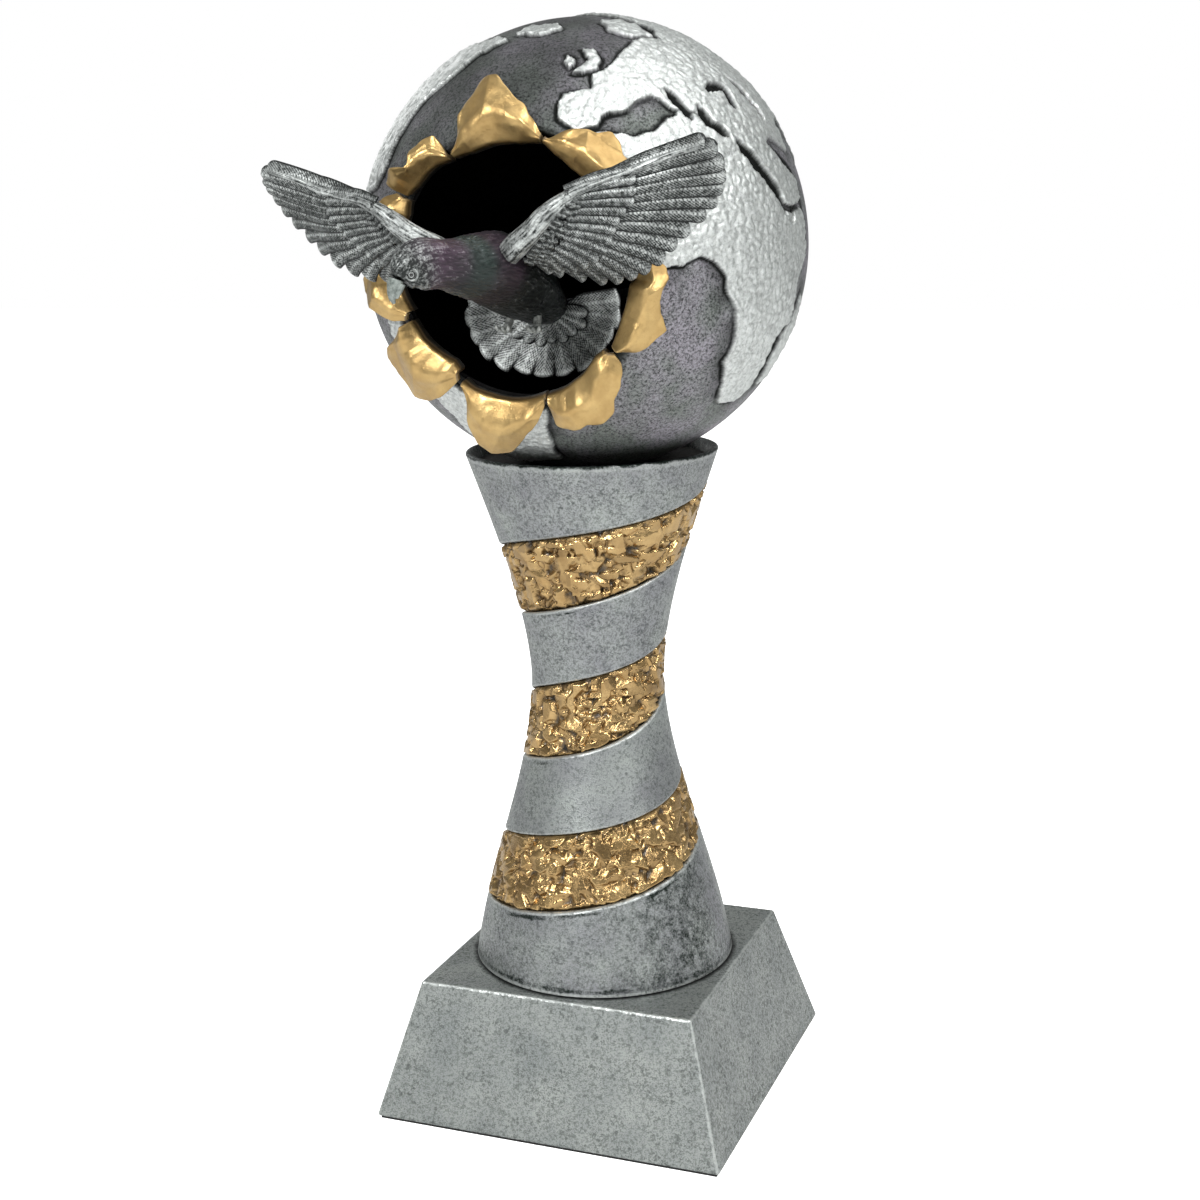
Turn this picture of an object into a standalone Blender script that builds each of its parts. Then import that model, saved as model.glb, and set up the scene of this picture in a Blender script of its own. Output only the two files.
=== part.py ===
"""Figure trophy: a dove flies out of a torn globe that stands on a spiral column and a plinth.

Metres, +Z up. The origin is the middle of the underside, and the dove faces -Y.
Each piece is one named object with its own material. A threaded rod clamps plinth, column and
globe together, and a dowel holds the dove from the back of the globe.
"""

from math import atan2, cos, pi, radians, sin, sqrt, tan

import bmesh
import bpy
from mathutils import Matrix, Quaternion, Vector

GAP = 0.0003  # clearance between touching pieces

# Plinth: a cast square frustum on a felt pad
FELT_THICKNESS = 0.0006
FELT_INSET = 0.0010
PLINTH_BOTTOM_HALF = 0.0510
PLINTH_TOP_HALF = 0.0402
PLINTH_HEIGHT = 0.0381
PLINTH_EDGE = 0.0007

# Fasteners: an M6 threaded rod with a nut and a washer at each end
ROD_RADIUS = 0.0030
NUT_ACROSS_FLATS = 0.0100
NUT_HEIGHT = 0.0050
WASHER_RADIUS = 0.0090
WASHER_THICKNESS = 0.0012
COUNTERBORE_RADIUS = 0.0120
COUNTERBORE_DEPTH = 0.0130
ROD_END = 0.0030  # how far the rod stands out of each nut

# Column: a waisted gold core in a silver sleeve that a spiral slot opens
COLUMN_HEIGHT = 0.1473
FOOT_RADIUS = 0.0374
WAIST_RADIUS = 0.0188
RIM_RADIUS = 0.0352
WAIST_HEIGHT = 0.0827
SLEEVE_WALL = 0.0016
RIM_LIP = 0.0031  # the sleeve stands this far above the core
COLUMN_STEPS = 36

# The gold strip that shows through the slot, a right-handed helix. Heights are above the foot.
STRIP_PITCH = 0.0420
STRIP_START_HEIGHT = -0.0071
STRIP_WIDTH = 0.0182
STRIP_LOW_TILT = 0.0026  # each edge of the strip rises and falls this much more, once a turn
STRIP_HIGH_TILT = 0.0020
STRIP_LOW_TILT_TURN = 37
STRIP_HIGH_TILT_TURN = 98
STRIP_FIRST_DEGREE = 30
STRIP_LAST_DEGREE = 1250
STRIP_TAPER_DEGREES = 165
RIM_RING = 0.0055  # the unbroken silver ring below the rim
SLOT_STEP_DEGREES = 10

# Globe: a hollow ball with a round hole in front
GLOBE_RADIUS = 0.0600
GLOBE_WALL = 0.0030
SEAT_SHARE = 0.3  # the dish that the globe sits in, as a share of the globe's radius
BOSS_RADIUS = 0.0110
BOSS_HEIGHT = 0.0020
HOLE_ANGLE = 33.9  # from the hole's axis to its edge, in degrees
HOLE_TURN = 1.4
HOLE_DROP = 3.1
GLOBE_STEPS = 40
LAND_LIFT = 0.0005
LAND_THICKNESS = 0.0010
LAND_GRID = 11  # degrees between the cuts that let a continent follow the ball
LAND_HOLE_ANGLE = 36.4
POLE_TURN = -24  # the north pole leans towards the front and a little to the left
POLE_TILT = 14.4
GREENWICH_TURN = -50.4

# Torn petals round the hole
PETAL_THICKNESS = 0.0014
PETAL_ROOT = 0.0024  # how far below the globe's surface a petal starts
PETAL_LIP_RISE = 0.0012
PETAL_RISE = 0.0056
PETAL_LIP_ANGLE = 32.0
PETAL_CURL_ANGLE = 5.0
PETAL_ROWS = 5
PETAL_SIDE_GAP = 0.6  # degrees that each side of a petal stays off its neighbour

# Dove, relative to the middle of the hole
EYE_RADIUS = 0.0013
DOWEL_RADIUS = 0.0015
DOWEL_DEPTH = 0.0080
DOWEL_HEIGHT = -0.0142
SOCKET_RADIUS = 0.0050
SOCKET_LENGTH = 0.0070
SOCKET_GAP = 0.0007  # the ball's flat facets dip this far inward
WING_THICKNESS = 0.0018
TAIL_HALF_WIDTH = 0.0222
TAIL_DROP = 0.0172
TAIL_THICKNESS = 0.0016
FOOT_TUBE_RADIUS = 0.0009

PLINTH_BASE = FELT_THICKNESS + GAP
PLINTH_TOP = PLINTH_BASE + PLINTH_HEIGHT
COLUMN_BASE = PLINTH_TOP + GAP
COLUMN_TOP = COLUMN_BASE + COLUMN_HEIGHT
CORE_TOP = COLUMN_TOP - RIM_LIP
CORE_INSET = SLEEVE_WALL + GAP
DISH_RADIUS = GLOBE_RADIUS + GAP
SEAT_RADIUS = SEAT_SHARE * GLOBE_RADIUS
GLOBE_CENTRE = Vector((0, 0, CORE_TOP + sqrt(DISH_RADIUS**2 - SEAT_RADIUS**2)))
GLOBE_INSIDE = GLOBE_RADIUS - GLOBE_WALL
BORE_RADIUS = ROD_RADIUS + GAP
BOSS_TOP = GLOBE_CENTRE.z - GLOBE_INSIDE + BOSS_HEIGHT
HOLE_AXIS = Vector(
    (
        sin(radians(HOLE_TURN)) * cos(radians(HOLE_DROP)),
        -cos(radians(HOLE_TURN)) * cos(radians(HOLE_DROP)),
        -sin(radians(HOLE_DROP)),
    )
)
HOLE_RIGHT = Vector((0, 0, 1)).cross(HOLE_AXIS).normalized()
HOLE_UP = HOLE_AXIS.cross(HOLE_RIGHT)
HOLE_MIDDLE = Vector((0, -GLOBE_RADIUS * cos(radians(HOLE_ANGLE)), GLOBE_CENTRE.z))

# Continents: longitude and latitude of each corner, anticlockwise
CONTINENTS = {
    "land_europe_asia": [
        (-13, 38.6), (-6, 38.6), (-4, 41), (4, 41), (11, 43.2), (15.5, 42.6), (19.6, 36.8), (25, 34.8),
        (28.6, 32), (32, 28), (34.4, 25), (38, 17.5), (42.4, 6.5), (47, 4.6), (54, 5), (55, 10.6),
        (47, 20.4), (48, 22), (58, 16), (62, 24), (68, 23), (72.5, 20), (77, 8), (80.5, 14), (88, 21),
        (94, 17), (99, 7), (104, 2), (104, 9), (109, 12), (107, 20), (117, 23), (122, 30), (119, 37),
        (126, 35), (130, 42), (140, 50), (157, 52), (162, 60), (176, 65), (168, 70), (140, 73),
        (105, 76), (80, 73), (68, 69), (58, 62), (48, 57), (37, 60.6), (30, 61), (20.6, 58.8),
        (14.5, 56.4), (5, 54.2), (0, 54), (-3.6, 49.5), (-14, 50), (-17, 43.6),
    ],
    "land_africa": [
        (-24, 37.8), (-24, 20), (-10, 4), (1.3, 3.3), (5, 2.8), (9.4, 3), (12, 0.8), (15.7, -3.4),
        (14.7, -7.7), (17.6, -12.4), (17.4, -19.4), (14, -25.7), (15, -32), (15, -40), (24, -42.5),
        (31.5, -40), (34.4, -34), (36.4, -27.5), (43.6, -23.5), (45, -14), (52, -9), (54, -1),
        (52, 3.6), (45, 3.2), (41.4, 5.2), (37, 16.8), (33.2, 24.6), (31, 27), (27.6, 31), (24, 33.6),
        (18.6, 35.6), (9, 34.6), (4, 34.3), (-4.8, 37.2),
    ],
    "land_north_america": [
        (-165, 65), (-158, 58), (-140, 60), (-125, 48), (-122, 35), (-110, 23), (-105, 20), (-95, 15),
        (-84, 8), (-80, 7.6), (-83, 15), (-89, 16), (-88, 21), (-96, 19), (-97, 28), (-90, 29.5),
        (-87, 33), (-87, 40), (-85, 49), (-81, 58), (-75, 63), (-71, 70), (-53, 76), (-75, 79),
        (-100, 74), (-125, 70), (-156, 71),
    ],
    "land_south_america": [
        (-78, 6.6), (-81, -5), (-76, -15), (-71, -30), (-74, -45), (-70, -52), (-58, -51), (-43.5, -49.5),
        (-43, -47), (-41.4, -41.4), (-40, -35), (-37, -29.4), (-38, -15), (-50, 0), (-60, 9), (-72, 12),
    ],
    "land_greenland": [(-48, 78.6), (-36, 78), (-18, 75.4), (-8, 76), (4, 76.4), (10, 80), (-30, 83)],
    "land_arctic_islands": [(34, 62.4), (46, 58.6), (56, 65), (58, 70), (40, 73), (30, 68)],
    "land_britain": [
        (-8.4, 56.2), (-3, 55), (3, 55), (6, 57.2), (8, 62), (2.6, 63), (1.2, 60.8), (0.6, 58.8),
    ],
    "land_ireland": [(-9.8, 60.6), (-8.6, 58.2), (-5.2, 59), (-4.8, 60.9), (-6.8, 62.6)],
    "land_madagascar": [(46.4, -22), (39, -28), (37, -35), (35.4, -41), (42, -40), (50, -28), (51, -18)],
    "land_australia": [
        (114, -22), (115, -34), (124, -33), (131, -31), (138, -35), (147, -38), (153, -29), (146, -19),
        (142, -11), (136, -14), (130, -12), (122, -18),
    ],
    "land_japan": [(130, 31), (134, 33), (140, 35), (143, 39), (145, 43), (141, 45), (139, 38), (131, 34)],
    "land_borneo": [(109, 1), (111, -3), (116, -4), (119, 2), (117, 7), (112, 3)],
    "land_new_guinea": [(131, -1), (133, -4), (138, -8), (143, -9), (150, -10), (146, -5), (137, -2)],
}

CONTINENTS_AT_HOLE = ("land_africa", "land_south_america")

# Petals: the torn edge of each, as degrees round the hole and degrees from its axis
PETALS = {
    "torn_petal_1": [(4, 34.5), (10, 37), (18, 36), (27, 34)],
    "torn_petal_2": [(27, 34), (33, 35), (39, 34.5), (45, 37), (56, 36.5), (66, 35), (71, 34)],
    "torn_petal_3": [(71, 34), (76, 36), (85, 39), (96, 42.5), (103, 37.5), (108, 36), (117, 34)],
    "torn_petal_4": [(117, 34.5), (121, 36), (131, 34.5), (140, 34), (149, 33.5)],
    "torn_petal_5": [(149, 34), (158, 36.5), (168, 36), (174, 35)],
    "torn_petal_6": [(174, 36), (181, 39.5), (189, 38), (199, 34.5)],
    "torn_petal_7": [(199, 34.5), (207, 38), (217, 41), (229, 43.5), (236, 37.5), (241, 34.5)],
    "torn_petal_8": [(241, 34), (247, 35.5), (256, 40.5), (263, 45), (272, 39.5), (281, 34.5)],
    "torn_petal_9": [(281, 36.5), (286, 37.5), (296, 37.5), (304, 39), (314, 36.5), (322, 34)],
    "torn_petal_10": [(322, 34), (335, 38), (345, 36.5), (357, 37), (364, 35)],
}

# The dove's spine from rump to brow, relative to the middle of the hole:
# right, back, up, half width, half height.
# It turns its head to its own right.
DOVE_SPINE = [
    (0.0000, 0.0248, -0.0145, 0.0040, 0.0034),
    (0.0000, 0.0188, -0.0129, 0.0058, 0.0050),
    (0.0000, 0.0098, -0.0095, 0.0080, 0.0074),
    (0.0000, 0.0008, -0.0060, 0.0094, 0.0088),
    (0.0000, -0.0102, -0.0028, 0.0098, 0.0090),
    (0.0000, -0.0202, -0.0015, 0.0090, 0.0078),
    (-0.0015, -0.0277, -0.0009, 0.0076, 0.0068),
    (-0.0040, -0.0342, -0.0003, 0.0060, 0.0056),
    (-0.0060, -0.0387, -0.0009, 0.0050, 0.0050),
    (-0.0073, -0.0413, -0.0015, 0.0046, 0.0049),
    (-0.0088, -0.0427, -0.0022, 0.0038, 0.0043),
    (-0.0099, -0.0437, -0.0031, 0.0026, 0.0032),
]
SECTION_POINTS = 16
EYE_PLACES = {"left": (-0.0046, -0.0449, -0.0023), "right": (-0.0101, -0.0378, -0.0022)}
BEAK_SPINE = [
    (-0.0093, -0.0432, -0.0036, 0.0021, 0.0020),
    (-0.0098, -0.0436, -0.0052, 0.0016, 0.0016),
    (-0.0102, -0.0439, -0.0069, 0.0010, 0.0011),
    (-0.0104, -0.0440, -0.0083, 0.0004, 0.0004),
]

# Wing stations from root to tip, each the leading edge and the trailing edge
WING_STATIONS = [
    ((0.0030, -0.0240, 0.0015), (0.0030, 0.0050, -0.0030)),
    ((0.0075, -0.0250, 0.0050), (0.0110, -0.0010, -0.0036)),
    ((0.0120, -0.0232, 0.0093), (0.0170, -0.0040, -0.0044)),
    ((0.0160, -0.0222, 0.0130), (0.0230, -0.0070, -0.0052)),
    ((0.0238, -0.0252, 0.0163), (0.0298, -0.0087, -0.0054)),
    ((0.0300, -0.0220, 0.0174), (0.0360, -0.0068, -0.0036)),
    ((0.0368, -0.0185, 0.0188), (0.0407, -0.0082, -0.0010)),
    ((0.0440, -0.0170, 0.0207), (0.0470, -0.0104, 0.0034)),
    ((0.0520, -0.0158, 0.0228), (0.0540, -0.0116, 0.0096)),
    ((0.0584, -0.0147, 0.0243), (0.0588, -0.0130, 0.0176)),
]
WING_COLUMNS = 6
WING_CAMBER = 0.0016
TAIL_MIDDLE = Vector((0.0, 0.0232, -0.0145))
TAIL_CUP = 0.0048  # how far the fan's edge stands forward of its middle
TAIL_STEPS = 14
TAIL_LIFT = 8  # degrees that the fan's ends stand above level
FOOT_POINTS = [
    (0.0036, 0.0064, -0.0130),
    (0.0038, 0.0056, -0.0166),
    (0.0040, 0.0046, -0.0180),
    (0.0040, 0.0024, -0.0184),
    (0.0039, 0.0013, -0.0172),
]

TROPHY = "figure_trophy"
CUTTERS = "cutters"


def clear_scene():
    for old in list(bpy.data.objects):
        bpy.data.objects.remove(old)


def collection(name):
    made = bpy.data.collections.new(name)
    bpy.context.scene.collection.children.link(made)
    return made


def material(name, colour, roughness, metallic):
    """A Principled material in one colour."""
    made = bpy.data.materials.new(name)
    made.use_nodes = True
    shader = made.node_tree.nodes["Principled BSDF"]
    shader.inputs["Base Color"].default_value = (*colour, 1)
    shader.inputs["Roughness"].default_value = roughness
    shader.inputs["Metallic"].default_value = metallic
    return made


def piece(name, mesh, finish=None, smooth=True):
    """The mesh as a named object: a visible piece if it has a finish, and a hidden cutter if not."""
    obj = bpy.data.objects.new(name, mesh)
    if finish:
        mesh.materials.append(finish)
        bpy.data.collections[TROPHY].objects.link(obj)
    else:
        bpy.data.collections[CUTTERS].objects.link(obj)
        obj.hide_render = True
        obj.display_type = "WIRE"
    if smooth:
        mesh.shade_smooth()
        mesh.set_sharp_from_angle(angle=radians(40))
    return obj


def mesh_of(name, build):
    """A mesh data-block from a bmesh."""
    mesh = bpy.data.meshes.new(name)
    build.normal_update()
    build.to_mesh(mesh)
    build.free()
    return mesh


def turned(name, profile, steps, finish=None, centre=Vector((0, 0, 0)), bored=True):
    """A solid of revolution about Z: (radius, height) down its outer side, then up its inner side."""
    build = bmesh.new()
    points = [build.verts.new((radius, 0, height)) for radius, height in profile]
    for first, second in zip(points, points[1:]):
        build.edges.new((first, second))
    if bored:
        build.edges.new((points[-1], points[0]))
    obj = piece(name, mesh_of(name, build), finish, smooth=False)
    obj.location = centre
    screw = obj.modifiers.new("Screw", "SCREW")
    screw.axis = "Z"
    screw.steps = steps
    screw.render_steps = steps
    screw.use_merge_vertices = True
    screw.merge_threshold = 0.00001
    return obj


def cylinder(name, radius, low, high, finish=None, segments=24, turn=Matrix.Identity(4), end_radius=None):
    """A cylinder, cone or frustum along Z between two heights, which turn then places."""
    build = bmesh.new()
    bmesh.ops.create_cone(
        build,
        cap_ends=True,
        segments=segments,
        radius1=radius,
        radius2=radius if end_radius is None else end_radius,
        depth=high - low,
        matrix=turn @ Matrix.Translation((0, 0, (low + high) / 2)),
    )
    return piece(name, mesh_of(name, build), finish, smooth=segments > 6)


def cut(obj, cutter, operation="DIFFERENCE"):
    boolean = obj.modifiers.new(cutter.name, "BOOLEAN")
    boolean.operation = operation
    boolean.solver = "EXACT"
    boolean.object = cutter
    return obj


def loft(name, spine, finish=None, clearance=0.0):
    """A closed body of ellipses across a spine of (right, back, up, half width, half height)."""
    middles = [HOLE_MIDDLE + Vector(station[:3]) for station in spine]
    build = bmesh.new()
    rings = []
    for place, (middle, station) in enumerate(zip(middles, spine)):
        here = min(place, len(spine) - 2)
        onward = middles[here + 1] - middles[here]
        across = onward.cross(Vector((0, 0, 1))).normalized()
        upward = across.cross(onward).normalized()
        ring = []
        for step in range(SECTION_POINTS):
            turn = 2 * pi * step / SECTION_POINTS
            sideways = (station[3] + clearance) * cos(turn) * across
            ring.append(build.verts.new(middle + sideways + (station[4] + clearance) * sin(turn) * upward))
        rings.append(ring)
    for first, second in zip(rings, rings[1:]):
        for step in range(SECTION_POINTS):
            after = (step + 1) % SECTION_POINTS
            build.faces.new((first[step], first[after], second[after], second[step]))
    build.faces.new(reversed(rings[0]))
    build.faces.new(rings[-1])
    bmesh.ops.recalc_face_normals(build, faces=build.faces)
    return piece(name, mesh_of(name, build), finish)


def sheet(name, rows, thickness, finish, offset):
    """An open surface through rows of points, made solid by Solidify."""
    build = bmesh.new()
    grid = [[build.verts.new(point) for point in row] for row in rows]
    for first, second in zip(grid, grid[1:]):
        for step in range(len(first) - 1):
            build.faces.new((first[step], first[step + 1], second[step + 1], second[step]))
    obj = piece(name, mesh_of(name, build), finish)
    solidify = obj.modifiers.new("Solidify", "SOLIDIFY")
    solidify.thickness = thickness
    solidify.offset = offset
    return obj


def tube(name, points, radius, finish):
    """A round bar along a few points, as a mesh that can be cut."""
    curve = bpy.data.curves.new(name + "_path", "CURVE")
    curve.dimensions = "3D"
    curve.bevel_depth = radius
    curve.bevel_resolution = 1
    curve.use_fill_caps = True
    spline = curve.splines.new("POLY")
    spline.points.add(len(points) - 1)
    for target, point in zip(spline.points, points):
        target.co = (*point, 1)
    path = bpy.data.objects.new(name + "_path", curve)
    bpy.context.scene.collection.objects.link(path)
    evaluated = path.evaluated_get(bpy.context.evaluated_depsgraph_get())
    mesh = bpy.data.meshes.new_from_object(evaluated)
    bpy.data.objects.remove(path)
    build = bmesh.new()
    build.from_mesh(mesh)
    bmesh.ops.remove_doubles(build, verts=build.verts, dist=0.000001)
    return piece(name, mesh_of(name, build), finish)


def flare(share, straightness, power):
    """The column's radius from waist (0) to end (1): a mix of a power curve and a cosine."""
    return straightness * share**power + (1 - straightness) * (1 - cos(pi * share)) / 2


def column_radius(height):
    """The silver surface's radius at a height above the column's base."""
    if height < WAIST_HEIGHT:
        share = (WAIST_HEIGHT - height) / WAIST_HEIGHT
        return WAIST_RADIUS + (FOOT_RADIUS - WAIST_RADIUS) * flare(share, 0.5, 1.5)
    share = (height - WAIST_HEIGHT) / (COLUMN_HEIGHT - WAIST_HEIGHT)
    return WAIST_RADIUS + (RIM_RADIUS - WAIST_RADIUS) * flare(share, 0.85, 1.6)


def column_profile(top, inset, rows):
    """(radius, height) from a top height down to the column's base, a distance inside the silver surface."""
    heights = [top * (1 - row / rows) for row in range(rows + 1)]
    return [(column_radius(height) - inset, COLUMN_BASE + height) for height in heights]


def strip_edges(degrees):
    """Heights of the gold strip's lower and upper edge at an angle along the spiral."""
    climb = STRIP_START_HEIGHT + STRIP_PITCH * degrees / 360
    low = climb + STRIP_LOW_TILT * sin(radians(degrees - STRIP_LOW_TILT_TURN))
    high = climb + STRIP_WIDTH + STRIP_HIGH_TILT * sin(radians(degrees - STRIP_HIGH_TILT_TURN))
    taper = (high - low) * max(0, 1 - (degrees - STRIP_FIRST_DEGREE) / STRIP_TAPER_DEGREES) / 2
    return low + taper, min(high - taper, COLUMN_HEIGHT - RIM_RING)


def make_plinth(finishes):
    half = PLINTH_BOTTOM_HALF - FELT_INSET
    square = Matrix.Rotation(radians(45), 4, "Z")
    cylinder("felt_pad", half * sqrt(2), 0, FELT_THICKNESS, finishes["felt"], 4, square)
    plinth = cylinder(
        "plinth",
        PLINTH_BOTTOM_HALF * sqrt(2),
        PLINTH_BASE,
        PLINTH_TOP,
        finishes["plinth_silver"],
        4,
        square,
        PLINTH_TOP_HALF * sqrt(2),
    )
    bevel = plinth.modifiers.new("Bevel", "BEVEL")
    bevel.width = PLINTH_EDGE
    bevel.segments = 2
    cut(plinth, cylinder("plinth_bore", BORE_RADIUS, 0, PLINTH_TOP + 0.01))
    counterbore_top = PLINTH_BASE + COUNTERBORE_DEPTH
    cut(plinth, cylinder("plinth_counterbore", COUNTERBORE_RADIUS, -0.01, counterbore_top))


def make_fasteners(finish):
    """The rod, and at each end a washer against the casting and a nut against the washer."""
    seat = PLINTH_BASE + COUNTERBORE_DEPTH - GAP
    lower_nut_top = seat - WASHER_THICKNESS - GAP
    washer("lower_washer", seat - WASHER_THICKNESS, finish)
    nut("lower_nut", lower_nut_top - NUT_HEIGHT, finish)
    upper_seat = BOSS_TOP + GAP
    upper_nut_base = upper_seat + WASHER_THICKNESS + GAP
    washer("upper_washer", upper_seat, finish)
    nut("upper_nut", upper_nut_base, finish)
    rod_low = lower_nut_top - NUT_HEIGHT - ROD_END
    cylinder("tie_rod", ROD_RADIUS, rod_low, upper_nut_base + NUT_HEIGHT + ROD_END, finish, 16)


def washer(name, base, finish):
    profile = [
        (WASHER_RADIUS, base + WASHER_THICKNESS),
        (WASHER_RADIUS, base),
        (BORE_RADIUS, base),
        (BORE_RADIUS, base + WASHER_THICKNESS),
    ]
    turned(name, profile, 20, finish)


def nut(name, base, finish):
    corner = NUT_ACROSS_FLATS / sqrt(3)
    block = cylinder(name, corner, base, base + NUT_HEIGHT, finish, 6)
    cut(block, cylinder(name + "_bore", BORE_RADIUS, base - 0.002, base + NUT_HEIGHT + 0.002, segments=16))


def slot_cutter():
    """A ramp that follows the gold strip through the sleeve's wall."""
    build = bmesh.new()
    rings = []
    for degrees in range(STRIP_FIRST_DEGREE + 2, STRIP_LAST_DEGREE, SLOT_STEP_DEGREES):
        low, high = strip_edges(degrees)
        if high - low < 0.0004:
            continue
        turn = radians(degrees)
        ring = []
        for reach, height in ((-1, low), (1, low), (1, high), (-1, high)):
            radius = column_radius(min(max(height, 0), COLUMN_HEIGHT))
            radius += (reach * 2 - 0.5) * SLEEVE_WALL
            ring.append(build.verts.new((radius * cos(turn), radius * sin(turn), COLUMN_BASE + height)))
        rings.append(ring)
    for first, second in zip(rings, rings[1:]):
        for step in range(4):
            after = (step + 1) % 4
            build.faces.new((first[step], first[after], second[after], second[step]))
    build.faces.new(reversed(rings[0]))
    build.faces.new(rings[-1])
    bmesh.ops.recalc_face_normals(build, faces=build.faces)
    return piece("spiral_slot", mesh_of("spiral_slot", build))


def make_column(finishes):
    outer = column_profile(COLUMN_HEIGHT, 0, 16)
    inner = column_profile(COLUMN_HEIGHT, SLEEVE_WALL, 16)
    sleeve = turned("spiral_sleeve", outer + inner[::-1], COLUMN_STEPS, finishes["column_silver"])
    cut(sleeve, slot_cutter())
    dish = []
    for row in range(4):
        radius = BORE_RADIUS + (SEAT_RADIUS - BORE_RADIUS) * row / 3
        dish.append((radius, GLOBE_CENTRE.z - sqrt(DISH_RADIUS**2 - radius**2)))
    core = column_profile(CORE_TOP - COLUMN_BASE, CORE_INSET, 16)
    profile = core + [(BORE_RADIUS, COLUMN_BASE)] + dish
    turned("column_core", profile, COLUMN_STEPS, finishes["nugget_gold"])


def arc(radius, start, end, rows):
    """(radius, height) along a circle about the globe's centre, from one angle below the top to another."""
    angles = [start + (end - start) * row / rows for row in range(rows + 1)]
    return [(radius * sin(angle), radius * cos(angle)) for angle in angles]


def make_globe(finishes):
    bottom = pi - atan2(BORE_RADIUS, GLOBE_RADIUS)
    boss_edge = pi - atan2(BOSS_RADIUS, sqrt(GLOBE_INSIDE**2 - BOSS_RADIUS**2))
    boss_top = BOSS_TOP - GLOBE_CENTRE.z
    outer = arc(GLOBE_RADIUS, 0, bottom, 18)
    inner = arc(GLOBE_INSIDE, boss_edge, 0, 13)
    profile = outer + [(BORE_RADIUS, boss_top), (BOSS_RADIUS, boss_top)] + inner
    profile[0] = (0, GLOBE_RADIUS)
    profile[-1] = (0, GLOBE_INSIDE)
    shell = turned("globe_shell", profile, GLOBE_STEPS, finishes["globe_ocean"], GLOBE_CENTRE, bored=False)
    cut(shell, hole_cone("globe_hole", HOLE_ANGLE))


def hole_cone(name, angle):
    """A blunt cone about the hole's axis, from inside the globe to well outside it."""
    low, high = 0.4 * GLOBE_RADIUS, 1.4 * GLOBE_RADIUS
    place = Matrix.Translation(GLOBE_CENTRE) @ HOLE_AXIS.to_track_quat("Z", "Y").to_matrix().to_4x4()
    return cylinder(name, low * tan(radians(angle)), low, high, None, 36, place, high * tan(radians(angle)))


def on_globe(longitude, latitude, radius):
    """The point of the tilted globe at a longitude and latitude in degrees."""
    east, north = radians(longitude), radians(latitude)
    upright = Vector((cos(north) * cos(east), cos(north) * sin(east), sin(north)))
    tilt = Quaternion((cos(radians(POLE_TURN)), sin(radians(POLE_TURN)), 0), radians(POLE_TILT))
    spin = Quaternion((0, 0, 1), radians(GREENWICH_TURN))
    return GLOBE_CENTRE + radius * (tilt @ spin @ upright)


def make_land(name, corners, finish, hole):
    """A raised continent: its outline is cut on a grid so that it follows the ball, then made thick."""
    build = bmesh.new()
    build.faces.new([build.verts.new((*corner, 0)) for corner in corners])
    for axis in (0, 1):
        places = [corner[axis] for corner in corners]
        across = Vector((1 - axis, axis, 0))
        line = LAND_GRID * (min(places) // LAND_GRID + 1)
        while line < max(places):
            everything = build.verts[:] + build.edges[:] + build.faces[:]
            spot = line * across
            bmesh.ops.bisect_plane(build, geom=everything, dist=0.001, plane_co=spot, plane_no=across)
            line += LAND_GRID
    bmesh.ops.triangulate(build, faces=build.faces)
    for vertex in build.verts:
        vertex.co = on_globe(vertex.co.x, vertex.co.y, GLOBE_RADIUS + LAND_LIFT)
    obj = piece(name, mesh_of(name, build), finish)
    solidify = obj.modifiers.new("Solidify", "SOLIDIFY")
    solidify.thickness = LAND_THICKNESS
    solidify.offset = 1
    if name in CONTINENTS_AT_HOLE:
        cut(obj, hole)
    return obj


def between(points, place):
    """The second value of a run of (place, value) pairs at a place, by straight lines."""
    for (start, low), (end, high) in zip(points, points[1:]):
        if place <= end:
            return low + (high - low) * (place - start) / (end - start)
    return points[-1][1]


def petal_point(turn, angle, radius):
    """A point from degrees round the hole, degrees from its axis and distance from the globe's centre."""
    sideways = cos(radians(turn)) * HOLE_RIGHT + sin(radians(turn)) * HOLE_UP
    return GLOBE_CENTRE + radius * (cos(radians(angle)) * HOLE_AXIS + sin(radians(angle)) * sideways)


def make_petal(name, edge, finish):
    """A flap that comes out of the hole, rolls over its edge and lies back over the globe."""
    start = edge[0][0] + PETAL_SIDE_GAP
    end = edge[-1][0] - PETAL_SIDE_GAP
    columns = max(4, round((end - start) / 6))
    rows = []
    for column in range(columns + 1):
        turn = end + (start - end) * column / columns
        reach = between(edge, turn)
        row = [petal_point(turn, PETAL_LIP_ANGLE + 0.2, GLOBE_RADIUS - PETAL_ROOT)]
        for step in range(PETAL_ROWS):
            angle = PETAL_LIP_ANGLE + (reach - PETAL_LIP_ANGLE) * step / (PETAL_ROWS - 1)
            curl = 1 - (1 - min(1, (angle - PETAL_LIP_ANGLE) / PETAL_CURL_ANGLE)) ** 2
            radius = GLOBE_RADIUS + PETAL_LIP_RISE + (PETAL_RISE - PETAL_LIP_RISE) * curl
            row.append(petal_point(turn, angle, radius))
        rows.append(row)
    sheet(name, rows, PETAL_THICKNESS, finish, -1)


def mirrored(point, side):
    return HOLE_MIDDLE + Vector((side * point[0], point[1], point[2]))


def make_wing(side_name, side, finish, body_clearance):
    """A cupped blade through its stations, cut back where the body is."""
    rows = []
    for leading, trailing in WING_STATIONS:
        front, back = mirrored(leading, side), mirrored(trailing, side)
        row = []
        for column in range(WING_COLUMNS + 1):
            share = column / WING_COLUMNS
            camber = Vector((0, -WING_CAMBER * 4 * share * (1 - share), 0))
            row.append(front.lerp(back, share) + camber)
        rows.append(row)
    wing = sheet("dove_wing_" + side_name, rows if side > 0 else rows[::-1], WING_THICKNESS, finish, 0)
    cut(wing, body_clearance)


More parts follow.
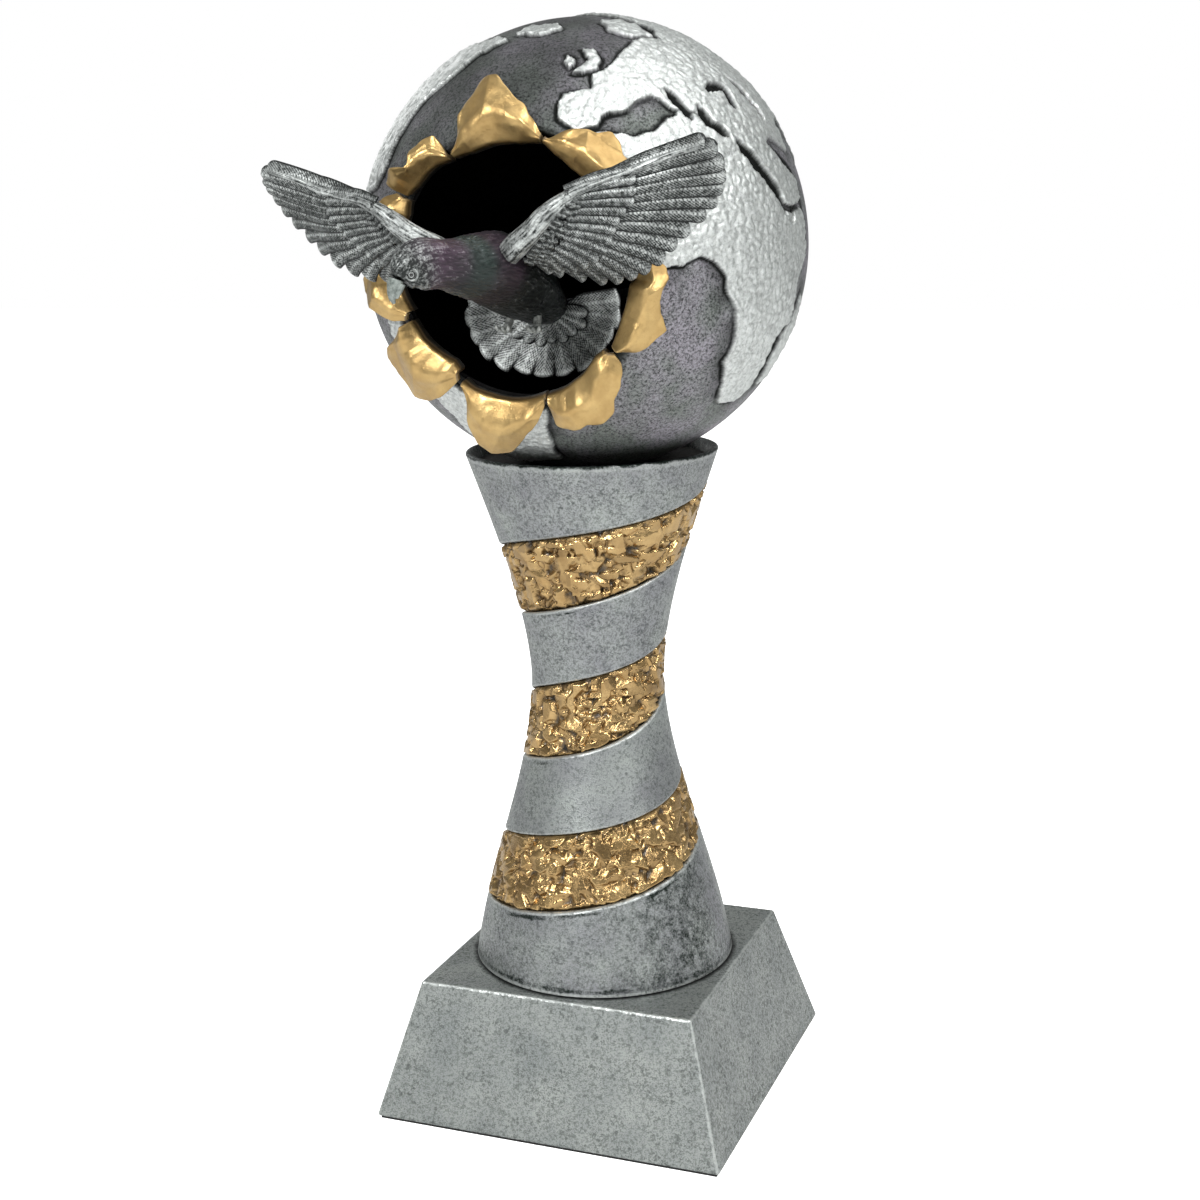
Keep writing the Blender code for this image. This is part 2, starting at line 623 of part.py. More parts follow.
def make_tail(finish, body_clearance):
    """A half-round fan that cups forward round the body's end."""
    lift = radians(TAIL_LIFT)
    rows = []
    for step in range(TAIL_STEPS + 1):
        turn = lift - (pi + 2 * lift) * step / TAIL_STEPS
        row = []
        for share in (0.06, 0.4, 0.7, 1):
            spread = Vector((TAIL_HALF_WIDTH * cos(turn), 0, TAIL_DROP * sin(turn)))
            row.append(HOLE_MIDDLE + TAIL_MIDDLE + share * spread - Vector((0, TAIL_CUP * share**2, 0)))
        rows.append(row)
    fan = sheet("dove_tail_fan", rows, TAIL_THICKNESS, finish, 0)
    cut(fan, body_clearance)


def ball(name, radius, place, finish=None, segments=16):
    build = bmesh.new()
    matrix = Matrix.Translation(place)
    rings = segments // 2
    bmesh.ops.create_uvsphere(build, u_segments=segments, v_segments=rings, radius=radius, matrix=matrix)
    return piece(name, mesh_of(name, build), finish)


def along_y(height):
    """Turns a shape that stands on Z so that it runs back along +Y at a height."""
    return Matrix.Translation((0, 0, height)) @ Matrix.Rotation(radians(-90), 4, "X")


def make_dove(finishes):
    body = loft("dove_body", DOVE_SPINE, finishes["dove_grey"])
    body_clearance = loft("dove_clearance", DOVE_SPINE, clearance=GAP)
    beak = loft("dove_beak", BEAK_SPINE, finishes["dove_beak"])
    cut(beak, body_clearance)
    make_tail(finishes["dove_grey"], body_clearance)
    for side_name, side in (("left", 1), ("right", -1)):
        make_wing(side_name, side, finishes["dove_grey"], body_clearance)
        eye_place = HOLE_MIDDLE + Vector(EYE_PLACES[side_name])
        eye = ball("dove_eye_" + side_name, EYE_RADIUS, eye_place, finishes["dove_eye"], 12)
        cut(eye, body_clearance)
        foot = tube("dove_foot_" + side_name, [mirrored(point, side) for point in FOOT_POINTS],
                    FOOT_TUBE_RADIUS, finishes["dove_foot"])
        cut(foot, body_clearance)
    make_dowel(finishes, body)


def make_dowel(finishes, body):
    """The dowel runs back from the dove's rump into a socket on the globe's inner wall."""
    height = HOLE_MIDDLE.z + DOWEL_HEIGHT
    rump = HOLE_MIDDLE.y + DOVE_SPINE[0][1]
    dowel_front = rump - DOWEL_DEPTH
    wall = sqrt((GLOBE_INSIDE - SOCKET_GAP) ** 2 - DOWEL_HEIGHT**2)
    socket_front = wall - SOCKET_LENGTH
    dowel_back = wall - 0.3 * SOCKET_LENGTH
    steel, place = finishes["steel"], along_y(height)
    bore = DOWEL_RADIUS + GAP
    cut(body, cylinder("dowel_hole", bore, dowel_front - GAP, rump + 0.02, None, 12, place))
    cylinder("support_dowel", DOWEL_RADIUS, dowel_front, dowel_back - GAP, steel, 12, place)
    socket = cylinder("dowel_socket", SOCKET_RADIUS, socket_front, wall + 0.01, steel, 20, place)
    inside = ball("globe_inside", GLOBE_INSIDE - SOCKET_GAP, GLOBE_CENTRE, None, 48)
    cut(socket, inside, "INTERSECT")
    cut(socket, cylinder("socket_hole", bore, socket_front - 0.01, dowel_back, None, 12, place))


def main():
    clear_scene()
    collection(TROPHY)
    collection(CUTTERS).hide_render = True
    finishes = {
        "felt": material("felt", (0.02, 0.02, 0.02), 0.95, 0.0),
        "steel": material("steel", (0.55, 0.55, 0.55), 0.35, 1.0),
        "plinth_silver": material("plinth_silver", (0.28, 0.30, 0.29), 0.45, 0.6),
        "column_silver": material("column_silver", (0.30, 0.33, 0.33), 0.42, 0.6),
        "nugget_gold": material("nugget_gold", (0.42, 0.27, 0.08), 0.30, 0.9),
        "globe_ocean": material("globe_ocean", (0.12, 0.13, 0.13), 0.50, 0.5),
        "land_silver": material("land_silver", (0.45, 0.47, 0.46), 0.35, 0.8),
        "petal_gold": material("petal_gold", (0.60, 0.40, 0.14), 0.35, 0.9),
        "dove_grey": material("dove_grey", (0.16, 0.17, 0.17), 0.55, 0.3),
        "dove_beak": material("dove_beak", (0.22, 0.23, 0.22), 0.50, 0.3),
        "dove_eye": material("dove_eye", (0.03, 0.03, 0.03), 0.20, 0.0),
        "dove_foot": material("dove_foot", (0.35, 0.36, 0.34), 0.50, 0.3),
    }
    make_plinth(finishes)
    make_fasteners(finishes["steel"])
    make_column(finishes)
    make_globe(finishes)
    land_hole = hole_cone("land_clearance", LAND_HOLE_ANGLE)
    for name, corners in CONTINENTS.items():
        make_land(name, corners, finishes["land_silver"], land_hole)
    for name, edge in PETALS.items():
        make_petal(name, edge, finishes["petal_gold"])
    make_dove(finishes)


main()
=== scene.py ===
"""The visual model of a figure trophy: a dove flies out of a torn globe on a spiral column."""

from itertools import product
from math import cos, pi, radians, sin

import bmesh
import bpy
import numpy as np
from mathutils import Matrix, Vector
from mathutils.bvhtree import BVHTree
from mathutils.kdtree import KDTree


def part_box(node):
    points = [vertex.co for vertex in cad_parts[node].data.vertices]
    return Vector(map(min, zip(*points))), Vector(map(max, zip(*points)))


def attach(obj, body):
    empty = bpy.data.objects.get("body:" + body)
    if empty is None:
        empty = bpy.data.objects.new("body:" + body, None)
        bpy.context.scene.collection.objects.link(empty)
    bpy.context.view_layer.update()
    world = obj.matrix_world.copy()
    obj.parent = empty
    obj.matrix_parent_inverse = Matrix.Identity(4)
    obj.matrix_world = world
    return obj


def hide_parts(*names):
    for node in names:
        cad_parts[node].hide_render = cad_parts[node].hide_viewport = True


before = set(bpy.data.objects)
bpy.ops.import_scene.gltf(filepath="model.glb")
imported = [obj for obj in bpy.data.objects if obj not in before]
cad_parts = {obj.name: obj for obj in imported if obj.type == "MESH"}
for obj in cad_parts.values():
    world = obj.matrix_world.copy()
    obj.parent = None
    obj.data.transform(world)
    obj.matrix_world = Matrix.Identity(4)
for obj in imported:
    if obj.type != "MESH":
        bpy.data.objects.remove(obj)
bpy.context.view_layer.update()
MM = 0.001
BODY = "root"


# ---------------------------------------------------------------- numbers and noise (all lengths in mm)

def lattice(cell, seed):
    """A repeatable number from 0 to 1 for each whole-number cell."""
    n = cell[..., 0] * 374761393 + cell[..., 1] * 668265263 + cell[..., 2] * 1440662683 + seed * 974634777
    n = n & 0xFFFFFFFF
    n = ((n ^ (n >> 13)) * 1274126177) & 0xFFFFFFFF
    n = ((n ^ (n >> 15)) * 2246822519) & 0xFFFFFFFF
    return ((n ^ (n >> 16)) & 0xFFFF) / 65535


def lattices(cell, seed):
    """Three such numbers for each cell."""
    return np.stack([lattice(cell, seed + axis) for axis in range(3)], -1)


def noise(points, size, seed=0):
    """Soft noise from -1 to 1 whose bumps are about size wide."""
    scaled = points / size
    base = np.floor(scaled).astype(np.int64)
    part = scaled - base
    part = part * part * (3 - 2 * part)
    total = np.zeros(len(points))
    for corner in product((0, 1), repeat=3):
        share = np.ones(len(points))
        for axis in range(3):
            share = share * (part[:, axis] if corner[axis] else 1 - part[:, axis])
        total += share * lattice(base + np.array(corner), seed)
    return 2 * total - 1


def wander(points, size, seed):
    """Soft noise along each axis."""
    return np.stack([noise(points, size, seed + axis) for axis in range(3)], -1)


def rough(points, size, octaves, seed=0):
    """Noise from -1 to 1 with finer and weaker layers on it."""
    total = np.zeros(len(points))
    for octave in range(octaves):
        total += noise(points, size / 2**octave, seed + octave) / 2**octave
    return total / (2 - 2 ** (1 - octaves))


def pebbles(points, size, seed=0):
    """Distances to the nearest and the second nearest pebble centre."""
    scaled = points / size
    base = np.floor(scaled).astype(np.int64)
    near = np.full(len(points), 9.0)
    second = near.copy()
    for shift in product((-1, 0, 1), repeat=3):
        cell = base + np.array(shift)
        spot = cell + lattices(cell, seed)
        away = np.linalg.norm(scaled - spot, axis=1)
        closer = away < near
        second = np.where(closer, near, np.minimum(second, away))
        near = np.where(closer, away, near)
    return near * size, second * size


def smooth(low, high, value):
    """A soft step from 0 at low to 1 at high."""
    share = np.clip((value - low) / (high - low), 0, 1)
    return share * share * (3 - 2 * share)


def unit(vectors):
    return vectors / np.maximum(np.linalg.norm(vectors, axis=-1, keepdims=True), 1e-9)


def through(points, count):
    """Points evenly spaced in parameter along a smooth curve through the given rows of numbers."""
    points = np.array(points, float)
    padded = np.vstack([2 * points[0] - points[1], points, 2 * points[-1] - points[-2]])
    places = np.linspace(0, len(points) - 1, count)
    index = np.minimum(places.astype(int), len(points) - 2)
    t = (places - index)[:, None]
    p0, p1, p2, p3 = (padded[index + k] for k in range(4))
    square, cube = 2 * p0 - 5 * p1 + 4 * p2 - p3, 3 * p1 - p0 - 3 * p2 + p3
    return 0.5 * (2 * p1 + (p2 - p0) * t + square * t**2 + cube * t**3)


def spokes(first, second, turn):
    """Directions round a circle that two crossed directions span, one row for each angle."""
    return first * np.cos(turn)[:, None] + second * np.sin(turn)[:, None]


# ---------------------------------------------------------------- meshes

class Shape:
    """Vertices, faces and named values that grow into one mesh."""

    def __init__(self):
        self.points, self.faces, self.values, self.count = [], [], {}, 0

    def add(self, points, faces, **values):
        self.points.append(points)
        self.faces.append(faces + self.count)
        self.count += len(points)
        for name, value in values.items():
            self.values.setdefault(name, []).append(np.broadcast_to(value, (len(points),)))

    def turn_over(self):
        self.faces = [faces[:, ::-1] for faces in self.faces]

    def make(self, name, finish, replaces=()):
        """Turns what was added into a piece that rides on the part's only body."""
        points = np.vstack(self.points) * MM
        faces = np.vstack(self.faces)
        mesh = bpy.data.meshes.new(name)
        mesh.vertices.add(len(points))
        mesh.vertices.foreach_set("co", points.ravel())
        mesh.loops.add(faces.size)
        mesh.loops.foreach_set("vertex_index", faces.ravel().astype(np.int32))
        mesh.polygons.add(len(faces))
        width = faces.shape[1]
        mesh.polygons.foreach_set("loop_start", np.arange(0, faces.size, width, dtype=np.int32))
        mesh.update(calc_edges=True)
        mesh.validate()
        for key, parts in self.values.items():
            made = mesh.attributes.new(key, "FLOAT", "POINT")
            made.data.foreach_set("value", np.concatenate(parts).astype(np.float32))
        mesh.shade_smooth()
        obj = bpy.data.objects.new(name, mesh)
        bpy.context.scene.collection.objects.link(obj)
        mesh.materials.append(finish)
        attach(obj, BODY)
        if replaces:
            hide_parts(*replaces)


def grid_faces(rows, columns, close_rows=False, close_columns=False, flip=False):
    """Quads over a grid of points that is stored row by row."""
    index = np.arange(rows * columns).reshape(rows, columns)
    if close_rows:
        index = np.vstack([index, index[:1]])
    if close_columns:
        index = np.hstack([index, index[:, :1]])
    quads = np.stack([index[:-1, :-1], index[:-1, 1:], index[1:, 1:], index[1:, :-1]], -1).reshape(-1, 4)
    return quads[:, ::-1] if flip else quads


def fan_cap(loop, flip=False):
    """Quads from side to side that close a loop of point numbers."""
    count = len(loop)
    quads = [[loop[k], loop[k + 1], loop[count - 2 - k], loop[count - 1 - k]] for k in range(count // 2 - 1)]
    return np.array(quads)[:, ::-1] if flip else np.array(quads)


def tube_faces(rows, around, flip=False):
    """Faces over rows of rings of points, closed at both ends."""
    index = np.arange(around)
    sides = grid_faces(rows, around, close_columns=True, flip=flip)
    return np.vstack([sides, fan_cap(index, flip), fan_cap(index + (rows - 1) * around, not flip)])


def slab(shape, top, bottom, values):
    """A closed plate between two grids of points of the same size."""
    rows, columns = top.shape[:2]
    points = np.vstack([top.reshape(-1, 3), bottom.reshape(-1, 3)])
    upper = grid_faces(rows, columns)
    lower = grid_faces(rows, columns, flip=True) + rows * columns
    index = np.arange(rows * columns).reshape(rows, columns)
    rim = np.concatenate([index[0, :-1], index[:-1, -1], index[-1, :0:-1], index[:0:-1, 0]])
    after = np.roll(rim, -1)
    under = rows * columns
    wall = np.stack([after, rim, rim + under, after + under], -1)
    full = {key: np.concatenate([np.ravel(value[0]), np.ravel(value[1])]) for key, value in values.items()}
    shape.add(points, np.vstack([upper, lower, wall]), **full)


# ---------------------------------------------------------------- finishes

class Finish:
    """A Principled material whose colours and bump come from nodes."""

    def __init__(self, name, metallic, roughness):
        self.material = bpy.data.materials.new(name)
        self.material.use_nodes = True
        self.tree = self.material.node_tree
        self.shader = self.tree.nodes["Principled BSDF"]
        self.shader.inputs["Metallic"].default_value = metallic
        self.shader.inputs["Roughness"].default_value = roughness
        self.place = self.tree.nodes.new("ShaderNodeTexCoord").outputs["Object"]

    def node(self, kind, **settings):
        made = self.tree.nodes.new(kind)
        for key, value in settings.items():
            setattr(made, key, value)
        return made

    def grain(self, size, detail=2, seed=0, rough_share=0.6):
        """Noise from 0 to 1 with grains of a size in mm."""
        made = self.node("ShaderNodeTexNoise", noise_dimensions="4D")
        made.inputs["Scale"].default_value = 1 / (size * MM)
        made.inputs["Detail"].default_value = detail
        made.inputs["Roughness"].default_value = rough_share
        made.inputs["W"].default_value = seed
        self.tree.links.new(self.place, made.inputs["Vector"])
        return made.outputs["Fac"]

    def pebble(self, size, seed=0):
        """Rounded dents about size mm across."""
        made = self.node("ShaderNodeTexVoronoi", voronoi_dimensions="4D")
        made.inputs["Scale"].default_value = 1 / (size * MM)
        made.inputs["W"].default_value = seed
        self.tree.links.new(self.place, made.inputs["Vector"])
        return made.outputs["Distance"]

    def value(self, name):
        """A value that was painted on the mesh."""
        return self.node("ShaderNodeAttribute", attribute_name=name).outputs["Fac"]

    def spread(self, source, low, high, out_low=0.0, out_high=1.0):
        """The range from low to high, spread over another range."""
        made = self.node("ShaderNodeMapRange")
        for key, number in (("From Min", low), ("From Max", high), ("To Min", out_low), ("To Max", out_high)):
            made.inputs[key].default_value = number
        self.tree.links.new(source, made.inputs["Value"])
        return made.outputs["Result"]

    def maths(self, operation, first, second):
        made = self.node("ShaderNodeMath", operation=operation)
        for socket, source in zip(made.inputs, (first, second)):
            if isinstance(source, (int, float)):
                socket.default_value = source
            else:
                self.tree.links.new(source, socket)
        return made.outputs["Value"]

    def blend(self, first, second, share):
        """A colour between two, each a tuple or a socket."""
        made = self.node("ShaderNodeMix", data_type="RGBA")
        for socket, source in ((made.inputs[6], first), (made.inputs[7], second)):
            if isinstance(source, tuple):
                socket.default_value = (*source, 1)
            else:
                self.tree.links.new(source, socket)
        self.tree.links.new(share, made.inputs[0])
        return made.outputs[2]

    def colour(self, source):
        self.tree.links.new(source, self.shader.inputs["Base Color"])

    def rough(self, source):
        self.tree.links.new(source, self.shader.inputs["Roughness"])

    def metal(self, source):
        self.tree.links.new(source, self.shader.inputs["Metallic"])

    def bump(self, *layers):
        """Bumps of (height from 0 to 1, depth in mm), one on another."""
        normal = None
        for source, depth in layers:
            made = self.node("ShaderNodeBump")
            made.inputs["Strength"].default_value = 1
            made.inputs["Distance"].default_value = depth * MM
            self.tree.links.new(source, made.inputs["Height"])
            if normal:
                self.tree.links.new(normal, made.inputs["Normal"])
            normal = made.outputs["Normal"]
        self.tree.links.new(normal, self.shader.inputs["Normal"])


def antique_silver(name, light, dark, tint, roughness, speck=0.9):
    """Silver paint under dark specks, for a node tree that adds its own wear and painted highlights."""
    made = Finish(name, 0.75, roughness)
    cloud = made.spread(made.grain(13, 2, 3), 0.30, 0.70)
    base = made.blend(light, tint, cloud)
    fine = made.spread(made.grain(0.5, 2, 7, rough_share=0.8), 0.50, 0.60)
    medium = made.spread(made.grain(0.95, 3, 9, rough_share=0.75), 0.48, 0.62)
    dense = made.spread(made.grain(6, 3, 15), 0.35, 0.62, 0.72, 1.0)
    specks = made.maths("MAXIMUM", made.maths("MULTIPLY", fine, 0.75), made.maths("MULTIPLY", medium, 0.85))
    specks = made.maths("MULTIPLY", made.maths("MULTIPLY", specks, dense), speck)
    made.base = made.blend(base, dark, specks)
    made.rough(made.spread(specks, 0, 1, roughness, min(1, roughness + 0.25)))
    made.bump((fine, 0.03), (medium, 0.03))
    return made


def plinth_finish():
    """Silver whose upper edges are painted bright, as wear and as a painted highlight, with a dark ring round
    the column's foot.
    """
    silver, speck, tint = (0.37, 0.39, 0.375), (0.035, 0.042, 0.038), (0.27, 0.29, 0.285)
    made = antique_silver("plinth_silver", silver, speck, tint, 0.40)
    axes = made.node("ShaderNodeSeparateXYZ")
    made.tree.links.new(made.place, axes.inputs["Vector"])
    across, deep = (made.maths("ABSOLUTE", axes.outputs[k], 0) for k in ("X", "Y"))
    low, high = low_high("plinth")
    half = made.spread(axes.outputs["Z"], low[2] * MM, high[2] * MM, high[0] * MM, PLINTH_TOP_HALF * MM)
    outer = made.maths("MAXIMUM", across, deep)
    corner = made.maths("SUBTRACT", made.maths("MINIMUM", across, deep), half)
    side = made.maths("ADD", outer, (high[2] - PLINTH_TOP_HALF) * MM)
    ledge = made.maths("MINIMUM", axes.outputs["Z"], side)
    ledge = made.maths("SUBTRACT", ledge, high[2] * MM)
    ragged = made.spread(made.grain(2.5, 3, 31), 0.3, 0.7, -0.35 * MM, 0.35 * MM)
    edge = made.maths("ADD", made.maths("MAXIMUM", corner, ledge), ragged)
    # The bright line along the upper edges is a painted highlight as well as wear.
    worn = made.spread(edge, -0.70 * MM, -0.25 * MM, 0, 0.5)
    base = made.blend(made.base, (0.62, 0.65, 0.63), worn)
    away = made.node("ShaderNodeVectorMath", operation="LENGTH")
    flat = made.node("ShaderNodeCombineXYZ")
    made.tree.links.new(axes.outputs["X"], flat.inputs["X"])
    made.tree.links.new(axes.outputs["Y"], flat.inputs["Y"])
    made.tree.links.new(flat.outputs["Vector"], away.inputs[0])
    ring = made.maths("ADD", away.outputs["Value"], ragged)
    stain_and_shade = made.spread(ring, (FOOT_RADIUS + 1.6) * MM, (FOOT_RADIUS + 0.3) * MM, 0, 0.9)
    on_top = made.spread(axes.outputs["Z"], (high[2] - 0.5) * MM, (high[2] - 0.1) * MM)
    base = made.blend(base, (0.006, 0.007, 0.006), made.maths("MULTIPLY", stain_and_shade, on_top))
    made.colour(base)
    return made


def column_finish():
    """Silver with painted highlights along the band edges, and a green-black stain, partly painted shade,
    that breaks into specks.
    """
    silver, speck, tint = (0.36, 0.385, 0.37), (0.03, 0.036, 0.034), (0.24, 0.245, 0.26)
    made = antique_silver("column_silver", silver, speck, tint, 0.36, 0.85)
    # The pale colour is a painted highlight along the bands' rolled edges.
    base = made.blend(made.base, (0.66, 0.69, 0.67), made.value("worn"))
    # The near-black green marks real stains and also painted shade along the band edges, at the rim and on
    # the hidden inner faces.
    grit = made.maths("MULTIPLY", made.maths("SUBTRACT", made.grain(0.75, 3, 31, rough_share=0.8), 0.5), 2.2)
    stained_and_shaded = made.spread(made.maths("ADD", made.value("wash"), grit), 0.30, 0.95)
    base = made.blend(base, (0.006, 0.012, 0.009), stained_and_shaded)
    made.colour(base)
    return made


def globe_finish():
    """Dark speckled sea, bright hammered land, and a black wash in the outlines."""
    made = Finish("globe_silver", 0.8, 0.4)
    cloud = made.spread(made.grain(16, 2, 5), 0.4, 0.6)
    sea = made.blend((0.22, 0.24, 0.225), (0.34, 0.325, 0.36), cloud)
    fine = made.spread(made.grain(0.7, 4, 2, rough_share=0.85), 0.44, 0.60)
    sea = made.blend(sea, (0.018, 0.02, 0.019), made.maths("MULTIPLY", fine, 0.9))
    glint = made.spread(made.grain(0.45, 2, 12, rough_share=0.7), 0.60, 0.72)
    sea = made.blend(sea, (0.5, 0.5, 0.5), made.maths("MULTIPLY", glint, 0.35))
    worn = made.spread(made.grain(1.0, 3, 21, rough_share=0.8), 0.45, 0.66)
    land = made.blend((0.69, 0.715, 0.70), (0.42, 0.44, 0.43), worn)
    base = made.blend(sea, land, made.value("land"))
    base = made.blend(base, (0.005, 0.006, 0.005), made.value("wash"))
    made.colour(base)
    made.rough(made.spread(made.value("land"), 0, 1, 0.5, 0.31))
    made.bump((fine, 0.04), (made.pebble(1.1, 4), 0.05))
    return made


def gold_finish(name, light, deep, roughness, bump_depth):
    """Gold paint of two tones, with brown and black where they are painted on the mesh."""
    made = Finish(name, 0.9, roughness)
    cloud = made.spread(made.grain(6, 3, 2), 0.36, 0.66)
    base = made.blend(light, deep, cloud)
    fine = made.spread(made.grain(0.7, 3, 8, rough_share=0.8), 0.5, 0.66)
    base = made.blend(base, deep, made.maths("MULTIPLY", fine, 0.35))
    # Brown and black come from painted values that hold real paint as well as painted shade under edges and
    # petals.
    base = made.blend(base, (0.10, 0.062, 0.03), made.value("brown"))
    base = made.blend(base, (0.008, 0.007, 0.005), made.value("wash"))
    made.colour(base)
    made.rough(made.spread(made.grain(2.4, 3, 5), 0.3, 0.7, roughness - 0.06, roughness + 0.12))
    made.metal(made.spread(made.value("wash"), 0, 0.6, 0.9, 0.0))
    made.bump((made.grain(2.6, 2, 14), bump_depth), (fine, 0.025))
    return made


def feather_finish(name, dark, light):
    """Charcoal in the grooves and silver brushed over what stands out, with near black for the wash and for
    painted shade between feathers.
    """
    made = Finish(name, 0.5, 0.46)
    brush = made.spread(made.grain(0.8, 3, 4, rough_share=0.8), 0.35, 0.65, -0.25, 0.25)
    share = made.spread(made.maths("ADD", made.value("ridge"), brush), 0.30, 0.95)
    patch = made.spread(made.grain(5, 2, 9), 0.40, 0.62, 0.55, 1.0)
    base = made.blend(dark, light, made.maths("MULTIPLY", share, patch))
    base = made.blend(base, (0.15, 0.08, 0.135), made.value("purple"))
    base = made.blend(base, (0.008, 0.075, 0.042), made.value("green"))
    # Near black for the wash and for painted shade in the gaps between feathers.
    base = made.blend(base, (0.003, 0.004, 0.004), made.value("wash"))
    made.colour(base)
    made.bump((made.grain(0.45, 3, 6, rough_share=0.75), 0.05))
    return made


def plain_finish(name, first, second, metallic, roughness, size=1.0, depth=0.05):
    """A two-tone grained finish without painted values."""
    made = Finish(name, metallic, roughness)
    grain = made.spread(made.grain(size, 3, 1, rough_share=0.7), 0.35, 0.65)
    made.colour(made.blend(first, second, grain))
    made.bump((grain, depth))
    return made


def paint_node(node, material):
    """Puts a material on a CAD node that the render shows as it is."""
    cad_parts[node].material_slots[0].material = material


# ---------------------------------------------------------------- the frame's own sizes

def low_high(node):
    """A CAD node's lowest and highest corner in mm."""
    low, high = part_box(node)
    return np.array(low) / MM, np.array(high) / MM


GLOBE_RADIUS = 60.0
GLOBE_WALL = 3.0
GLOBE = np.array((0, 0, low_high("globe_shell")[1][2] - GLOBE_RADIUS))
HOLE_ANGLE = 33.9
HOLE_TURN, HOLE_DROP = 1.4, 3.1
HOLE_AXIS = np.array((
    sin(radians(HOLE_TURN)) * cos(radians(HOLE_DROP)),
    -cos(radians(HOLE_TURN)) * cos(radians(HOLE_DROP)),
    -sin(radians(HOLE_DROP)),
))
HOLE_RIGHT = unit(np.cross((0, 0, 1), HOLE_AXIS))
HOLE_UP = np.cross(HOLE_AXIS, HOLE_RIGHT)

COLUMN_FOOT, COLUMN_TOP = low_high("spiral_sleeve")[0][2], low_high("spiral_sleeve")[1][2]
COLUMN_HEIGHT = COLUMN_TOP - COLUMN_FOOT
FOOT_RADIUS, WAIST_RADIUS, RIM_RADIUS = 37.4, 18.8, 35.2
WAIST_HEIGHT = 82.7
SLEEVE_WALL = 1.6
PLINTH_TOP_HALF = 40.2
STRIP_FIRST, STRIP_LAST, STRIP_PITCH = 30, 1250, 42
SLEEVE_BEVEL, SLEEVE_STEP = 0.8, 0.8
NUGGET_GRID, NUGGET_SIZE, CHIP_SIZE = (2300, 78), 2.3, 1.4
GLOBE_SPIN, GLOBE_TILT, TILT_TOWARD = -50.4, 14.4, -24
COAST_STEP, SEAM_ANGLE = 0.6, 112.0


def toward(turn, angle, radius):
    """Points from degrees round the hole, degrees from its axis and distance from the globe's middle."""
    turn, angle, radius = np.broadcast_arrays(*(np.asarray(a, float) for a in (turn, angle, radius)))
    turn, angle = np.radians(turn)[..., None], np.radians(angle)[..., None]
    side = np.cos(turn) * HOLE_RIGHT + np.sin(turn) * HOLE_UP
    return GLOBE + radius[..., None] * (np.cos(angle) * HOLE_AXIS + np.sin(angle) * side)


def earth(longitude, latitude):
    """The direction of a longitude and latitude on the tilted globe."""
    east, north = radians(longitude), radians(latitude)
    spot = Vector((cos(north) * cos(east), cos(north) * sin(east), sin(north)))
    spin = Matrix.Rotation(radians(GLOBE_SPIN), 3, "Z")
    hinge = Vector((cos(radians(TILT_TOWARD)), sin(radians(TILT_TOWARD)), 0))
    tilt = Matrix.Rotation(radians(GLOBE_TILT), 3, hinge)
    return np.array(tilt @ spin @ spot)


# ---------------------------------------------------------------- plinth

STEEL_NODES = (
    "lower_nut", "lower_washer", "tie_rod", "upper_nut", "upper_washer", "support_dowel", "dowel_socket",
)


def dress_plinth():
    """Finishes of the plinth, its felt, and the steel parts that only show from below or inside."""
    paint_node("plinth", plinth_finish().material)
    felt = plain_finish("felt", (0.015, 0.015, 0.015), (0.03, 0.03, 0.03), 0.0, 0.95, 0.5, 0.2)
    paint_node("felt_pad", felt.material)
    steel = plain_finish("zinc_steel", (0.55, 0.56, 0.58), (0.42, 0.43, 0.46), 1.0, 0.32, 0.6, 0.01)
    for node in STEEL_NODES:
        paint_node(node, steel.material)


# ---------------------------------------------------------------- column

def flare(share, straightness, power):
    """From 0 at the waist to 1 at the foot or rim, a mix of a power curve and a half wave."""
    return straightness * share**power + (1 - straightness) * (1 - np.cos(pi * share)) / 2


def column_radius(height):
    """The silver surface's radius at heights above the foot."""
    height = np.clip(height, 0, COLUMN_HEIGHT)
    below = np.clip((WAIST_HEIGHT - height) / WAIST_HEIGHT, 0, 1)
    above = np.clip((height - WAIST_HEIGHT) / (COLUMN_HEIGHT - WAIST_HEIGHT), 0, 1)
    lower = WAIST_RADIUS + (FOOT_RADIUS - WAIST_RADIUS) * flare(below, 0.5, 1.5)
    upper = WAIST_RADIUS + (RIM_RADIUS - WAIST_RADIUS) * flare(above, 0.85, 1.6)
    return np.where(height < WAIST_HEIGHT, lower, upper)


def strip_edges(degrees):
    """Heights of the gold band's lower and upper edge at angles along the spiral."""
    climb = -7.1 + STRIP_PITCH * degrees / 360
    low = climb + 2.6 * np.sin(np.radians(degrees - 37))
    high = climb + 18.2 + 2.0 * np.sin(np.radians(degrees - 98))
    taper = (high - low) * np.maximum(0, 1 - (degrees - STRIP_FIRST) / 165) / 2
    return low + taper, np.minimum(high - taper, COLUMN_HEIGHT - 5.5)


def sleeve_rows(low, high, gold_below, gold_above):
    """Heights, depths under the silver surface, and whether hidden, round one cut through the band."""
    span = np.maximum(high - low, 0.02)
    reach = np.minimum(SLEEVE_BEVEL, 0.45 * span)
    rows = []
    for part in np.linspace(0, pi / 2, 6):
        rows.append((low + reach * (1 - cos(part)), gold_below * reach * (1 - sin(part)), 0))
    for part in (1 - np.cos(np.linspace(0, pi, 42)))[1:-1] / 2:
        rows.append((low + reach + (span - 2 * reach) * part, 0 * low, 0))
    for part in np.linspace(pi / 2, 0, 6):
        rows.append((high - reach * (1 - cos(part)), gold_above * reach * (1 - sin(part)), 0))
    for share in (1, 0.5, 0):
        rows.append((low + 0.02 + (span - 0.04) * share, np.full_like(low, SLEEVE_WALL), 1))
    return rows


